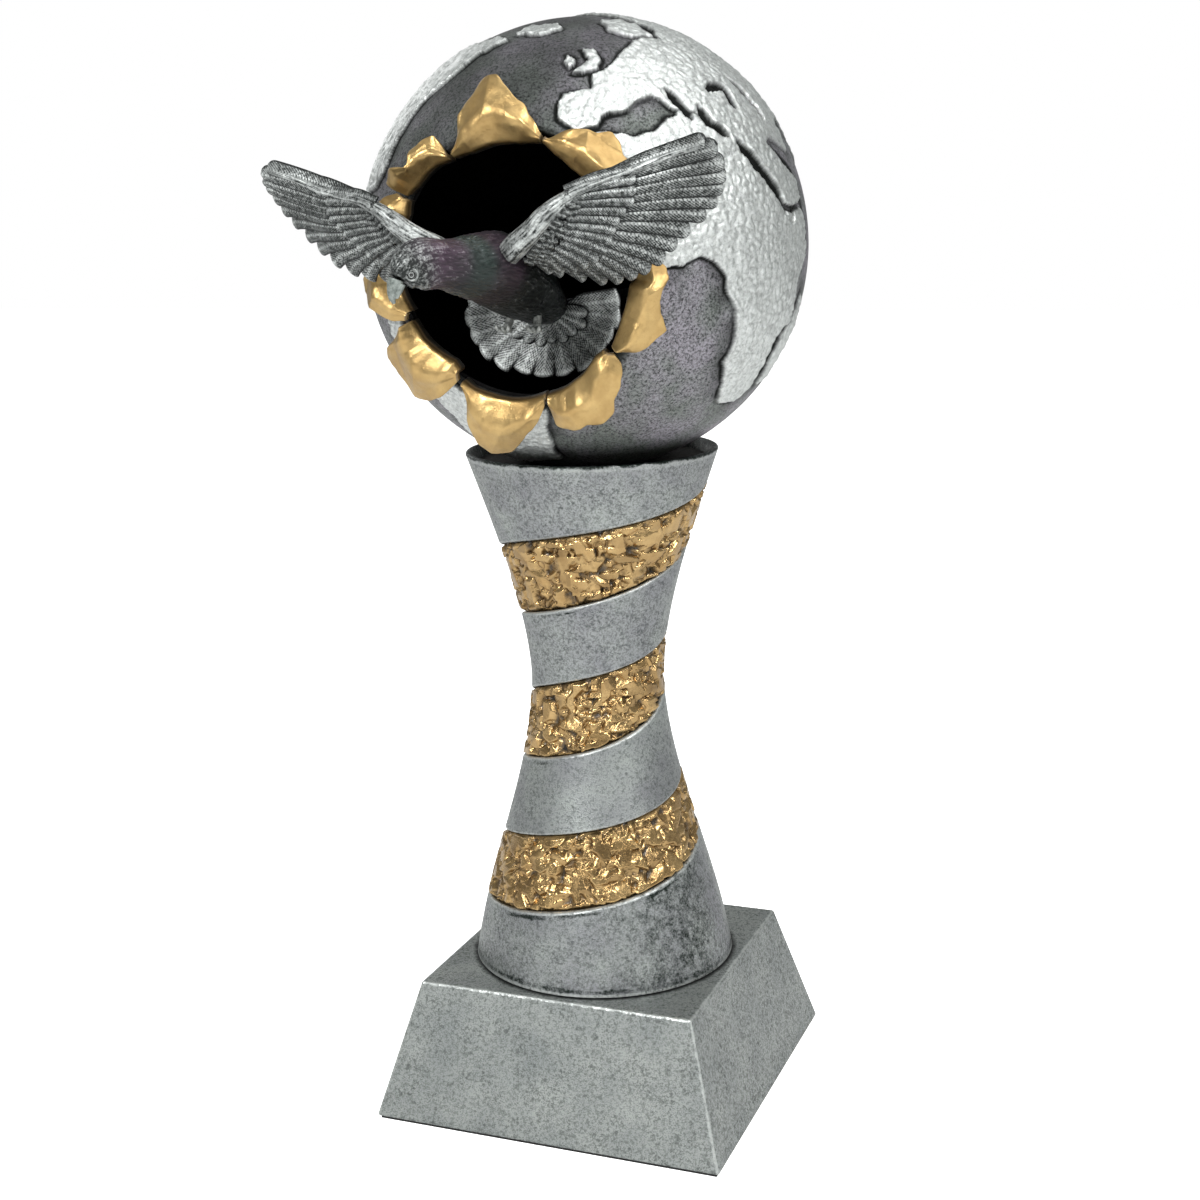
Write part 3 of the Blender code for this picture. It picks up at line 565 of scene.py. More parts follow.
def foot_stain_and_shade(flat, height, turn, fade, ragged, patchy):
    """The dark ring low on the foot, and the speckled stain that is strongest on its right, where it is also
    painted shade.
    """
    ring = 0.8 * smooth(1.0, 0.2, np.abs(height - 1.5) + 0.5 * ragged) * (0.7 + 0.3 * patchy)
    # Darker towards the right side, as painted shade.
    away = smooth(-0.2, 1.0, np.cos(turn - radians(20)))
    mottle = noise(flat, 1.6, 85) + 0.6 * noise(flat, 0.7, 86)
    return np.maximum(ring, (0.40 + 0.36 * away) * smooth(-1.2, 0.9, mottle + 0.5 * away) * fade)


def make_sleeve():
    """The silver band between two turns of gold, with rolled edges, from the foot to the rim."""
    shape = Shape()
    finish = column_finish()
    bounds = (STRIP_FIRST, STRIP_FIRST + 360, STRIP_LAST, STRIP_LAST + 360)
    for start, end in zip(bounds, bounds[1:]):
        degrees = np.linspace(start, end, int((end - start) / SLEEVE_STEP) + 1)
        before_low, before_high = strip_edges(degrees - 360)
        this_low, this_high = strip_edges(degrees)
        first, last = end <= STRIP_FIRST + 360, start >= STRIP_LAST
        none = np.zeros_like(degrees)
        low = none if first else np.where(before_high - before_low > 0, before_high, before_low)
        high = np.full_like(degrees, COLUMN_HEIGHT) if last else this_low
        gold_below = none if first else smooth(0, 3, before_high - before_low)
        gold_above = none if last else smooth(0, 3, this_high - this_low)
        turn = np.radians(degrees)
        fade = smooth(0, 60, degrees - start) * smooth(0, 60, end - degrees)
        points, worn, wash = [], [], []
        for height, inset, hidden in sleeve_rows(low, high, gold_below, 1.0 if last else gold_above):
            radius = column_radius(height) - inset
            flat = np.stack([radius * np.cos(turn), radius * np.sin(turn), COLUMN_FOOT + height], -1)
            points.append(flat)
            ragged = noise(flat, 3.0, 81) + 0.5 * noise(flat, 1.1, 82)
            patchy = smooth(-0.15, 0.5, noise(flat, 8, 83))
            from_top, from_low = high - height, height - low
            # Painted highlights: bright lines along the band's upper and lower rolled edges.
            line = 0.48 * smooth(0.9, 0.4, from_top + 0.3 * ragged) * gold_above
            line = np.maximum(line, 0.35 * smooth(0.9, 0.3, from_low + 0.2 * ragged) * gold_below)
            # A ragged dark line below the upper edge, and painted shade along the lower edge where the silver
            # rolls down to the gold below.
            stain_and_shade = smooth(0.8, 0.3, np.abs(from_top - 1.4) + 0.3 * ragged) * gold_above * patchy
            stain_and_shade = np.maximum(stain_and_shade, 0.9 * smooth(0.5, 0.1, from_low) * gold_below)
            if first:
                stain_and_shade = np.maximum(stain_and_shade, foot_stain_and_shade(flat, height, turn, fade, ragged, patchy))
                # A painted highlight along the very foot.
                line = np.maximum(line, 0.5 * smooth(0.9, 0.5, height))
            if last:
                # Darker along the top of the rim, with a faint painted highlight just below it.
                stain_and_shade = np.maximum(stain_and_shade, smooth(1.1, 0.1, from_top + 0.5 * ragged))
                line = np.maximum(line, 0.2 * smooth(1.9, 1.2, from_top))
            worn.append(line * (1 - hidden))
            # Hidden inner faces are painted black, as painted shade inside the gap.
            wash.append(np.maximum(stain_and_shade, hidden))
        count, columns = len(points), len(degrees)
        ends = [fan_cap(np.arange(count) * columns, True), fan_cap(np.arange(count) * columns + columns - 1)]
        faces = np.vstack([grid_faces(count, columns, close_rows=True, flip=True), *ends])
        wash, worn = np.concatenate(wash), np.concatenate(worn)
        shape.add(np.vstack(points), faces, wash=np.clip(wash, 0, 1), worn=np.clip(worn, 0, 1))
    shape.make("spiral_sleeve_silver", finish.material, ("spiral_sleeve",))


def crystals(points, outward, size, seed):
    """Heights in mm of random many-sided lumps that overlap, and how brown each lump is."""
    scaled = points / size
    base = np.floor(scaled).astype(np.int64)
    best = np.full(len(points), -9.0)
    brown = np.zeros(len(points))
    for shift in product((-1, 0, 1), repeat=3):
        cell = base + np.array(shift)
        spot = cell + lattices(cell, seed)
        offset = (scaled - spot) * size
        deep = (offset * outward).sum(1)
        offset = offset - deep[:, None] * outward
        lean = lattices(cell, seed + 10) - 0.5
        slope = np.full(len(points), -9.0)
        for side in range(5):
            face = unit(lattices(cell, seed + 20 + 3 * side) - 0.5)
            slope = np.maximum(slope, (offset * face).sum(1))
        lump = (lattice(cell, seed + 5) - 0.3) * 0.3 * size + (offset * lean).sum(1) * 1.15
        lump -= 1.1 * np.maximum(0, slope - 0.22 * size) + 0.5 * np.abs(deep)
        higher = lump > best
        best = np.where(higher, lump, best)
        brown = np.where(higher, lattice(cell, seed + 6), brown)
    return best, brown


def make_nuggets():
    """Faceted gold lumps with dark crevices, in the window of the sleeve, with a painted shadow under the
    silver above and a painted highlight along the lower edge.
    """
    columns, rows = NUGGET_GRID
    degrees = np.linspace(STRIP_FIRST + 6, STRIP_LAST - 1, columns)
    low, high = strip_edges(degrees)
    low, high = low - 0.6, high + 0.6
    share = np.linspace(0, 1, rows)[:, None]
    height = low + (high - low) * share
    turn = np.radians(degrees)[None, :]
    base = column_radius(height) - SLEEVE_WALL - 0.3
    surface = np.stack([base * np.cos(turn), base * np.sin(turn), COLUMN_FOOT + height], -1).reshape(-1, 3)
    outward = np.stack([np.cos(turn) + 0 * height, np.sin(turn) + 0 * height, 0 * height], -1).reshape(-1, 3)
    lift, shade = crystals(surface, outward, NUGGET_SIZE, 40)
    small, small_shade = crystals(surface, outward, CHIP_SIZE, 60)
    lift = 1.4 * lift + 0.12 * small
    pits = smooth(-0.25, -0.75, lift)
    away = np.minimum(height - low, high - height).ravel()
    across = np.broadcast_to(high - low, height.shape).ravel()
    tuck = smooth(0.2, 2.0, away) * smooth(1.5, 7, across)
    total = np.clip((1.05 + lift) * tuck, -0.1, 2.1)
    points = surface + outward * total[:, None]
    upper = np.broadcast_to(share, height.shape).ravel() > 0.5
    shadow = smooth(1.5, 0.5, away + 0.3 * noise(surface, 2.5, 84))
    # Painted highlight: wash and brown are taken off along the gold's lower edge, where it sits on the silver
    # below.
    ledge = smooth(1.25, 0.85, away) * ~upper
    wash = np.clip(0.8 * pits + 0.85 * shadow * upper, 0, 1) * (1 - ledge)
    brown = np.clip(0.42 * shade**2 + 0.16 * small_shade + 0.4 * smooth(0.35, -0.4, lift), 0, 0.85)
    brown = brown * (1 - ledge)
    finish = gold_finish("nugget_gold", (0.56, 0.385, 0.175), (0.40, 0.255, 0.105), 0.2, 0.008)
    grid = np.arange(rows * columns).reshape(rows, columns)
    middle = columns // 2
    for name, first, last in (("nugget_band_lower", 0, middle + 1), ("nugget_band_upper", middle, columns)):
        pick = grid[:, first:last].ravel()
        shape = Shape()
        shape.add(points[pick], grid_faces(rows, last - first), wash=wash[pick], brown=brown[pick])
        shape.make(name, finish.material)
    # The core is painted near black, as painted shade in the gap under the globe and behind the gold.
    dark = plain_finish("core_painted_shade", (0.02, 0.018, 0.014), (0.008, 0.008, 0.007), 0.2, 0.8, 1.5, 0.2)
    paint_node("column_core", dark.material)


# ---------------------------------------------------------------- globe

# Dark cuts in the land, as runs of longitude and latitude with a half width in mm
CUTS = [
    (1.1, [(21.6, 42.8), (22.3, 38.2), (22.8, 34)]),
    (1.2, [(27.8, 35.7), (27.8, 31.8), (31.2, 27.3)]),
    (1.5, [(36.9, 38.7), (43.8, 38.2), (43, 32.4)]),
    (1.4, [(52.3, 39.9), (53.4, 32.4), (53.7, 26.6)]),
    (1.5, [(33.2, 25), (35, 21), (37, 16.8), (38.6, 13.5), (40.1, 10.7), (41.5, 4.7)]),
    (0.9, [(45.6, 3.1), (43.8, 1)]),
    (1.4, [(46.6, 20.8), (50.1, 15.9), (54.9, 11.3), (56, 5.7), (53.9, -2.4), (50.9, -9.7)]),
    (1.3, [(44.3, -23.8), (37, -27.2), (35.1, -34), (32.1, -40.1)]),
]

# Land that closes the narrow sea between two continents, as a run with a half width in mm
BRIDGE = (1.7, [(20.5, 35), (24, 33), (28, 30.5), (32, 26.5)])


def point_tree(points):
    tree = KDTree(len(points))
    for number, point in enumerate(points):
        tree.insert(tuple(point), number)
    tree.balance()
    return tree


def run_directions(run):
    """Directions along a smooth run of longitudes and latitudes."""
    return unit(through([earth(*spot) for spot in run], 60 * len(run)))


def land_tools():
    """A ray test for the raised land, and trees of points on its coasts, the dark cuts and the bridge."""
    corners, faces, coast = [], [], []
    for name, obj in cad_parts.items():
        if not name.startswith("land_"):
            continue
        start = len(corners)
        points = np.array([vertex.co for vertex in obj.data.vertices]) / MM
        corners.extend(points.tolist())
        for face in obj.data.polygons:
            ring = list(face.vertices)
            faces.append([start + k for k in ring])
            middle = points[ring].mean(0) - GLOBE
            if abs(np.dot(unit(middle), np.array(face.normal))) < 0.5:
                for first, second in zip(ring, ring[1:] + ring[:1]):
                    steps = max(2, int(np.linalg.norm(points[first] - points[second]) / COAST_STEP))
                    for share in np.linspace(0, 1, steps):
                        coast.append(points[first] * (1 - share) + points[second] * share)
    shore = point_tree([unit(point - GLOBE) * GLOBE_RADIUS for point in coast])
    marks, halves = [], []
    for half, run in CUTS:
        fine = run_directions(run)
        ends = np.minimum(np.linspace(0, 1, len(fine)), np.linspace(1, 0, len(fine)))
        marks.extend(fine * GLOBE_RADIUS)
        halves.extend(half * (0.45 + 0.55 * np.minimum(1, ends / 0.15)))
    bridge = point_tree(run_directions(BRIDGE[1]) * GLOBE_RADIUS)
    return BVHTree.FromPolygons(corners, faces), shore, point_tree(marks), halves, bridge


def globe_surface(directions, tools):
    """Radius, landness and wash of the globe's outside along directions."""
    tree, shore, cuts, halves, bridge = tools
    flat = directions * GLOBE_RADIUS
    drift = 0.8 * wander(flat, 6, 1) + 0.35 * wander(flat, 2, 4)
    looked = unit(flat + drift) * GLOBE_RADIUS
    signed = np.zeros(len(flat))
    cut_depth = np.zeros(len(flat))
    middle = tuple(GLOBE)
    for number, spot in enumerate(looked):
        ray = tuple(spot / GLOBE_RADIUS)
        on_land = tree.ray_cast(middle, ray)[0] is not None
        away = shore.find(tuple(spot))[2]
        signed[number] = away if on_land else -away
        across = bridge.find(tuple(spot))[2]
        if across < BRIDGE[0]:
            signed[number] = max(signed[number], BRIDGE[0] - across, away)
        found = cuts.find(tuple(spot))
        cut_depth[number] = 1 - found[2] / halves[found[1]]
    land = smooth(-0.25, 0.45, signed)
    cut_share = smooth(-0.25, 0.15, cut_depth + 0.25 * noise(flat, 2.2, 72))
    foil_near, foil_second = pebbles(flat + 0.9 * drift, 2.3, 90)
    foil = 0.22 * smooth(0, 0.9, foil_second - foil_near)
    foil = foil + 0.16 * rough(flat, 3.4, 3, 91) + 0.16 * rough(flat, 1.3, 2, 95)
    dents = 0.25 * rough(flat, 14, 2, 99)
    radius = GLOBE_RADIUS - 0.3 + land * (0.75 + foil + dents)
    radius = radius + (1 - land) * 0.04 * rough(flat, 3, 2, 98)
    trench = np.exp(-(((signed + 0.45) / 0.45) ** 2))
    radius -= 0.35 * trench
    radius -= cut_share * (1.3 * land + 0.2)
    ragged = 0.75 + 0.5 * noise(flat, 3.5, 70)
    patchy = 0.3 + 0.7 * smooth(-0.45, 0.05, noise(flat, 9, 73))
    rim = patchy * np.exp(-(((signed + 0.35) / (0.7 * ragged)) ** 2))
    stain_and_shade = 0.55 * smooth(-7, -0.5, signed) * smooth(-0.5, 0.5, noise(flat, 5, 71) + 0.3)
    north = smooth(0.35, 0.95, directions @ unit(np.array((-0.30, -0.42, 0.85))))
    stain_and_shade = np.maximum(stain_and_shade, 0.72 * north * (0.75 + 0.25 * noise(flat, 8, 76))) * (1 - land)
    grooves = 0.30 * land * smooth(0.35, 0.0, foil_second - foil_near)
    grooves = grooves * smooth(-0.4, 0.4, noise(flat, 3, 74))
    limb = smooth(0.25, 0.9, noise(flat, 3.2, 75)) * smooth(25, 60, -flat[:, 0]) * land
    grooves = np.maximum(grooves, 0.9 * limb)
    wash = np.clip(0.95 * rim + stain_and_shade + grooves + 1.2 * cut_share, 0, 1)
    return radius, land * (1 - cut_share), wash


def make_lining():
    """The black inside of the globe, with a closed wall."""
    rows, columns = 60, 120
    angle, turn = np.linspace(HOLE_ANGLE, 179.9, rows), np.linspace(0, 360, columns, endpoint=False)
    inner = GLOBE_RADIUS - GLOBE_WALL
    skin = toward(turn[None, :], angle[:, None], inner).reshape(-1, 3)
    skin = GLOBE + unit(skin - GLOBE) * (inner + 0.25 * rough(skin, 5, 3, 200))[:, None]
    back = GLOBE + unit(skin - GLOBE) * (inner + 1.2)
    closed = grid_faces(rows, columns, close_columns=True)
    under, far = rows * columns, (rows - 1) * columns
    index = np.arange(columns)
    after = np.roll(index, -1)
    wall = np.stack([index + under, after + under, after, index], -1)
    tail = np.stack([after + far + under, index + far + under, index + far, after + far], -1)
    lining = Shape()
    lining.add(np.vstack([skin, back]), np.vstack([closed[:, ::-1], closed + under, wall, tail]))
    black = plain_finish("cavity_black", (0.0015, 0.0015, 0.0015), (0.004, 0.004, 0.004), 0.0, 0.9, 2.0, 0.1)
    black.shader.inputs["Specular IOR Level"].default_value = 0.1
    lining.make("globe_lining", black.material)


def make_globe():
    """Sea and land as a front, with a wall at the hole's rim, and a back that tucks under its edge."""
    tools = land_tools()
    finish = globe_finish()
    lands = tuple(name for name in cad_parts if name.startswith("land_"))
    for name, start, end, rows, columns, replaced in (
        ("globe_front", HOLE_ANGLE, SEAM_ANGLE, 224, 860, ("globe_shell", *lands)),
        ("globe_back", SEAM_ANGLE - 0.25, 180, 130, 480, ()),
    ):
        angle = np.linspace(start, end, rows)
        angle[-1] = min(angle[-1], 179.95)
        turn = np.linspace(0, 360, columns, endpoint=False)
        grid = toward(turn[None, :], angle[:, None], GLOBE_RADIUS)
        directions = unit(grid.reshape(-1, 3) - GLOBE)
        radius, land, wash = globe_surface(directions, tools)
        faces = grid_faces(rows, columns, close_columns=True)
        shape = Shape()
        if replaced:
            near_hole = smooth(HOLE_ANGLE + 3.2, HOLE_ANGLE + 0.4, np.repeat(angle, columns))
            wash = np.maximum(wash, 0.85 * near_hole)
            top = GLOBE + directions * radius[:, None]
            rim = GLOBE + directions[:columns] * (GLOBE_RADIUS - GLOBE_WALL + 0.6)
            index = np.arange(columns)
            after, under = np.roll(index, -1), rows * columns
            wall = np.stack([index, index + under, after + under, after], -1)
            land, wash = np.concatenate([land, 0 * index]), np.concatenate([wash, 0 * index + 1])
            shape.add(np.vstack([top, rim]), np.vstack([faces, wall]), land=land, wash=wash)
        else:
            radius[:columns] -= 0.3
            shape.add(GLOBE + directions * radius[:, None], faces, land=land, wash=wash)
        shape.make(name, finish.material, replaced)
    make_lining()


# ---------------------------------------------------------------- torn petals

# Each petal's root line and torn edge: degrees round the hole and degrees from the hole's axis
PETALS = {
    "torn_petal_1": ([(4, 31.5), (15, 31), (27, 31.5)], [(4, 35.5), (10, 38), (18, 39), (25, 37), (27, 34)]),
    "torn_petal_2": (
        [(27, 31.5), (34, 30), (46, 28.5), (55, 28.5), (66, 29.5), (73, 31)],
        [
            (27, 33), (29, 36), (35, 37.5), (42, 37.5), (46, 39),
            (50, 39.5), (54, 37.5), (60, 36), (66.5, 33.5), (70, 31.7),
        ],
    ),
    "torn_petal_3": (
        [(74, 31), (84, 30), (97, 30), (108, 29.5), (118, 30.5)],
        [
            (74, 32), (78, 34), (82, 36.5), (89, 39.5), (94, 44),
            (98, 44), (103, 40.5), (109, 37.5), (111, 34), (115, 31.5),
        ],
    ),
    "torn_petal_4": (
        [(120, 30.5), (128, 32), (135, 32.5), (142, 32.7), (148, 34)],
        [(120, 32), (121, 36), (126, 37), (132, 36.5), (135, 34), (137, 34), (143, 38), (148, 38)],
    ),
    "torn_petal_5": (
        [(149, 33), (155, 31.5), (165, 31.5), (174, 33)],
        [(149, 36), (152, 37), (160, 38), (168, 38), (174, 36)],
    ),
    "torn_petal_6": (
        [(174, 33), (182, 33), (190, 32.5), (196, 31.5), (200, 30.5)],
        [(174, 38), (180, 39.5), (184, 43.5), (188, 43.5), (192, 40.5), (196, 37.5), (201, 35), (203, 32)],
    ),
    "torn_petal_7": (
        [(204, 32), (212, 31.5), (222, 30.5), (233, 28.8), (237, 30)],
        [
            (205, 33), (207, 37), (208, 42), (210.5, 46), (215, 45),
            (221, 45.5), (225, 47.5), (231, 43), (235, 38), (239, 32),
        ],
    ),
    "torn_petal_8": (
        [(240, 33), (247, 33.5), (256, 33.5), (264, 33.5), (273, 33), (281, 32)],
        [
            (243, 34), (245.5, 37), (247, 40.5), (251.5, 45), (256, 48),
            (262, 47.5), (269.5, 40.5), (275, 37.5), (280, 34),
        ],
    ),
    "torn_petal_9": (
        [(282, 32.3), (290, 32), (301, 31), (313, 29.5), (318, 30)],
        [
            (281.5, 34), (282, 38.5), (288, 39.5), (294, 39), (298, 40.5),
            (303, 41), (307, 38.5), (313, 37), (319, 34.5), (320.5, 32),
        ],
    ),
    "torn_petal_10": (
        [(-38, 31), (-33, 30.5), (-24, 30), (-16, 30), (-8, 30), (-5, 31.5), (4, 31.5)],
        [
            (-36.5, 32), (-33, 35.5), (-30, 37), (-25.5, 38), (-22, 39.5), (-16.5, 37),
            (-12, 36), (-7, 36.5), (-4, 38), (0, 37.5), (4, 35),
        ],
    ),
}


# How long a degree round the hole is beside a degree away from its axis
TURN_WEIGHT = 0.55


def along_line(points, count):
    """Points evenly spaced by length along straight runs, with their corners a little rounded."""
    points = np.array(points, float)
    scale = np.array((TURN_WEIGHT, 1.0))
    reach = np.concatenate([[0], np.cumsum(np.linalg.norm(np.diff(points * scale, axis=0), axis=1))])
    places = np.linspace(0, reach[-1], count)
    line = np.stack([np.interp(places, reach, points[:, k]) for k in (0, 1)], -1)
    for _ in range(2):
        line[1:-1] = 0.5 * line[1:-1] + 0.25 * (line[:-2] + line[2:])
    return line


def make_petals():
    """Curled gold plates with a few folds, each from its root line at the hole to its torn edge."""
    finish = gold_finish("petal_gold", (0.55, 0.38, 0.16), (0.41, 0.268, 0.105), 0.35, 0.05)
    columns, rows, wall = 120, 60, 12
    for number, (name, (root, edge)) in enumerate(PETALS.items()):
        root, edge = along_line(root, columns), along_line(edge, columns)
        jag = noise(np.stack([edge[:, 0] * 0.7, edge[:, 1], np.full(columns, 7.0 * number)], -1), 2.0, 341)
        edge[:, 1] += 0.35 * jag
        share = np.concatenate([np.zeros(wall), np.linspace(0, 1, rows - wall)])[:, None]
        deep = np.concatenate([np.linspace(1, 0, wall + 1)[:-1], np.zeros(rows - wall)])[:, None]
        turn = root[None, :, 0] * (1 - share) + edge[None, :, 0] * share
        angle = root[None, :, 1] * (1 - share) + edge[None, :, 1] * share
        ends = np.minimum(np.arange(columns), np.arange(columns)[::-1]) / columns
        body = smooth(0, 0.22, ends)[None, :]
        rise = 0.5 + (2.6 + 2.0 * body) * np.sin(np.clip(share / 0.5, 0, 1) * pi / 2) ** 0.85
        rise = rise + 0.5 * body * smooth(0.5, 1, share) - 3.2 * deep
        angle = angle + 0.9 * deep**2
        surface = toward(turn, angle, GLOBE_RADIUS + rise).reshape(-1, 3)
        outward = unit(surface - GLOBE)
        middle = surface.mean(0)
        rng = np.random.default_rng(30 + number)
        fold = np.full(len(surface), -9.0)
        for _ in range(4):
            fold = np.maximum(fold, (surface - middle) @ unit(rng.normal(0, 1, 3)))
        fold = -0.42 * (fold - fold.mean())
        dents = 0.22 * rough(surface, 6, 2, 320 + number) + 0.07 * rough(surface, 1.9, 2, 330 + number)
        spread_share = np.broadcast_to(share, turn.shape).ravel()
        weight = smooth(0.05, 0.35, spread_share)
        relief = outward * ((np.clip(fold, -1.2, 1.2) + dents) * weight)[:, None]
        surface = surface + relief
        lip = 0.25 * rough(surface, 3.0, 2, 360 + number) * (1 - weight)
        surface = surface + outward * lip[:, None]
        top = surface.reshape(rows, columns, 3)
        hinge = 1 - smooth(0, 0.25, share)
        under = toward(turn, angle + 1.5 * hinge, GLOBE_RADIUS + rise - 1.3 * (1 - hinge)).reshape(-1, 3)
        bottom = (under + relief).reshape(rows, columns, 3)
        inside = np.broadcast_to(deep, turn.shape).ravel()
        ragged = 0.12 * noise(surface, 4, 350 + number)
        brown = np.clip(0.85 * smooth(0.02, 0.30, inside + ragged), 0, 0.9)
        wash = smooth(0.25, 0.65, inside + ragged)
        # The side ends are painted dark, as painted shade in the cracks between petals. The underside and its
        # edge are painted browner and darker, also as painted shade.
        side = smooth(0.018, 0.0, np.broadcast_to(ends[None, :], turn.shape).ravel())
        wash = np.clip(wash + 0.7 * side, 0, 1)
        shape = Shape()
        slab(shape, top, bottom, {"wash": (wash, wash * 0 + 0.35), "brown": (brown, brown * 0 + 0.8)})
        shape.make(name + "_gold", finish.material, (name,))


# ---------------------------------------------------------------- dove

def plumage(shape, top, bottom, ridge, wash):
    """A slab with the dove's painted values, each given for the top and the bottom."""
    zero = np.zeros(top.shape[:2])
    values = {"ridge": ridge, "wash": wash, "purple": (0, 0), "green": (0, 0)}
    slab(shape, top, bottom, {key: (zero + above, zero + below) for key, (above, below) in values.items()})


def feather(
    shape, base, tip, half, bend, surface, lift, *, barb, steps, across, relief, round_tip,
    twist=0.0, stem=0.30, start_width=0.55, tone=1.0,
):
    """One feather on a surface: a vane with a rachis and slanted barbs, closed underneath.

    base and tip are (sideways, up) on the surface, which turns such pairs into points.
    """
    base, tip = np.array(base, float), np.array(tip, float)
    run = tip - base
    length = np.linalg.norm(run)
    ahead = run / length
    beside = np.array((-ahead[1], ahead[0]))
    s = np.linspace(0, 1, steps)
    centre = base + run * s[:, None] + beside * (bend * 4 * s * (1 - s))[:, None]
    slope = np.gradient(centre, axis=0)
    slope = slope / np.linalg.norm(slope, axis=1, keepdims=True)
    sides = np.stack([-slope[:, 1], slope[:, 0]], -1)
    grow = start_width + (1 - start_width) * smooth(0, 0.45, s)
    end = np.clip((s - (1 - round_tip)) / round_tip, 0, 1)
    width = half * grow * np.sqrt(np.maximum(1 - end**2, 0.0025))
    t = np.linspace(-1, 1, across)
    flat = centre[:, None, :] + sides[:, None, :] * (width[:, None] * t[None, :])[..., None]
    points, normal = surface(flat.reshape(-1, 2))
    points = points.reshape(steps, across, 3)
    normal = normal.reshape(steps, across, 3)
    reach = np.abs(t)[None, :] * width[:, None]
    phase = (s[:, None] * length - 1.3 * reach) / barb
    ripple = 0.5 + 0.5 * np.cos(2 * pi * phase)
    spine = np.exp(-((reach / stem) ** 2))
    crown = 1 - t[None, :] ** 2
    barbs = relief * ripple * smooth(0.0, 0.5, crown) * (1 - spine)
    height = 0.13 * half * crown + barbs + 0.20 * spine + twist * t[None, :]
    height = height * smooth(-0.02, 0.04, 1 - s)[:, None]
    top = points + normal * (lift + height)[..., None]
    bottom = points + normal * (lift - 0.55 + twist * t[None, :] + 0 * height)[..., None]
    # The vane's edges are painted darker, as painted shade where the next feather overlaps.
    tip_glow, edge_painted_shade = smooth(0.86, 1.0, s)[:, None], smooth(0.75, 1, np.abs(t))[None, :]
    ridge = tone * np.clip(0.14 + 0.55 * ripple + 0.32 * spine + 0.22 * tip_glow - 0.25 * edge_painted_shade, 0, 1)
    # Edges and root are washed dark as painted shade in the gaps between feathers. The underside is painted
    # darker, also as painted shade.
    wash = 0.9 * smooth(0.72, 0.98, np.abs(t))[None, :] * (1 - smooth(0.88, 1, s)[:, None])
    wash = wash + 0.45 * smooth(0.35, 0.0, s)[:, None]
    plumage(shape, top, bottom, (ridge, 0.15), (np.clip(wash, 0, 1), 0.5))


def wing_surface(node, side):
    """A smooth surface through the front of a CAD wing, as a function of (sideways, up)."""
    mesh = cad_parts[node].data
    points = np.array([vertex.co for vertex in mesh.vertices]) / MM
    facing = np.zeros(len(points))
    for face in mesh.polygons:
        for corner in face.vertices:
            facing[corner] += face.normal[1] * face.area
    front = points[facing < 0]

    def terms(x, z):
        """Powers of the two coordinates up to the third."""
        x, z = x / 30, (z - 245) / 15
        return np.stack([np.ones_like(x), x, z, x * x, x * z, z * z, x**3, x * x * z, x * z * z], -1)

    weights = np.linalg.lstsq(terms(side * front[:, 0], front[:, 2]), front[:, 1], rcond=None)[0]

    def place(flat):
        """Points and normals; the right wing's leading edge droops as in the photo."""
        x, z = flat[:, 0], flat[:, 1]
        if side < 0:
            leading = np.interp(x, [4, 14, 23, 37, 48, 58], [242, 250, 257, 261, 265, 267])
            trailing = np.interp(x, [10, 20, 28, 36, 44, 50, 58], [238, 237, 235, 237, 241, 247, 257])
            droop = np.interp(x, [10, 26, 42, 58], [0, 1.7, 3.6, 3.0])
            z = z - droop * smooth(0, 1, (z - trailing) / (leading - trailing))
        y = terms(x, z) @ weights
        slope_x = (terms(x + 0.05, z) @ weights - y) / 0.05
        slope_z = (terms(x, z + 0.05) @ weights - y) / 0.05
        normal = unit(np.stack([side * slope_x, -np.ones_like(y), slope_z], -1))
        return np.stack([side * x, y, z], -1), normal

    return place


# Feathers from the wing's tip to the body: start and end seen from the front, half width and bow
FLIGHT = [
    ((31.0, 259.3), (56.8, 267.1), 2.0, 0.5), ((32.0, 258.2), (59.3, 265.7), 2.1, 0.6),
    ((33.0, 256.6), (60.0, 262.6), 2.1, 0.7), ((33.5, 255.2), (59.7, 259.8), 2.1, 0.8),
    ((33.5, 253.8), (58.5, 257.0), 2.1, 0.9), ((33.0, 252.2), (56.8, 254.0), 2.1, 1.0),
    ((32.0, 250.6), (54.0, 250.8), 2.1, 1.0), ((31.0, 249.0), (50.2, 247.2), 2.1, 1.0),
    ((30.0, 247.4), (47.0, 244.0), 2.1, 1.0), ((29.0, 245.8), (43.6, 240.6), 2.1, 1.0),
    ((27.5, 244.6), (39.6, 238.2), 2.0, 1.0), ((25.5, 243.6), (35.7, 236.6), 2.0, 1.1),
    ((22.5, 242.8), (31.2, 235.4), 1.9, 1.1), ((19.0, 242.2), (26.4, 235.0), 1.8, 1.0),
    ((15.0, 241.8), (21.0, 235.8), 1.7, 0.8), ((11.5, 241.4), (15.6, 237.0), 1.6, 0.5),
]
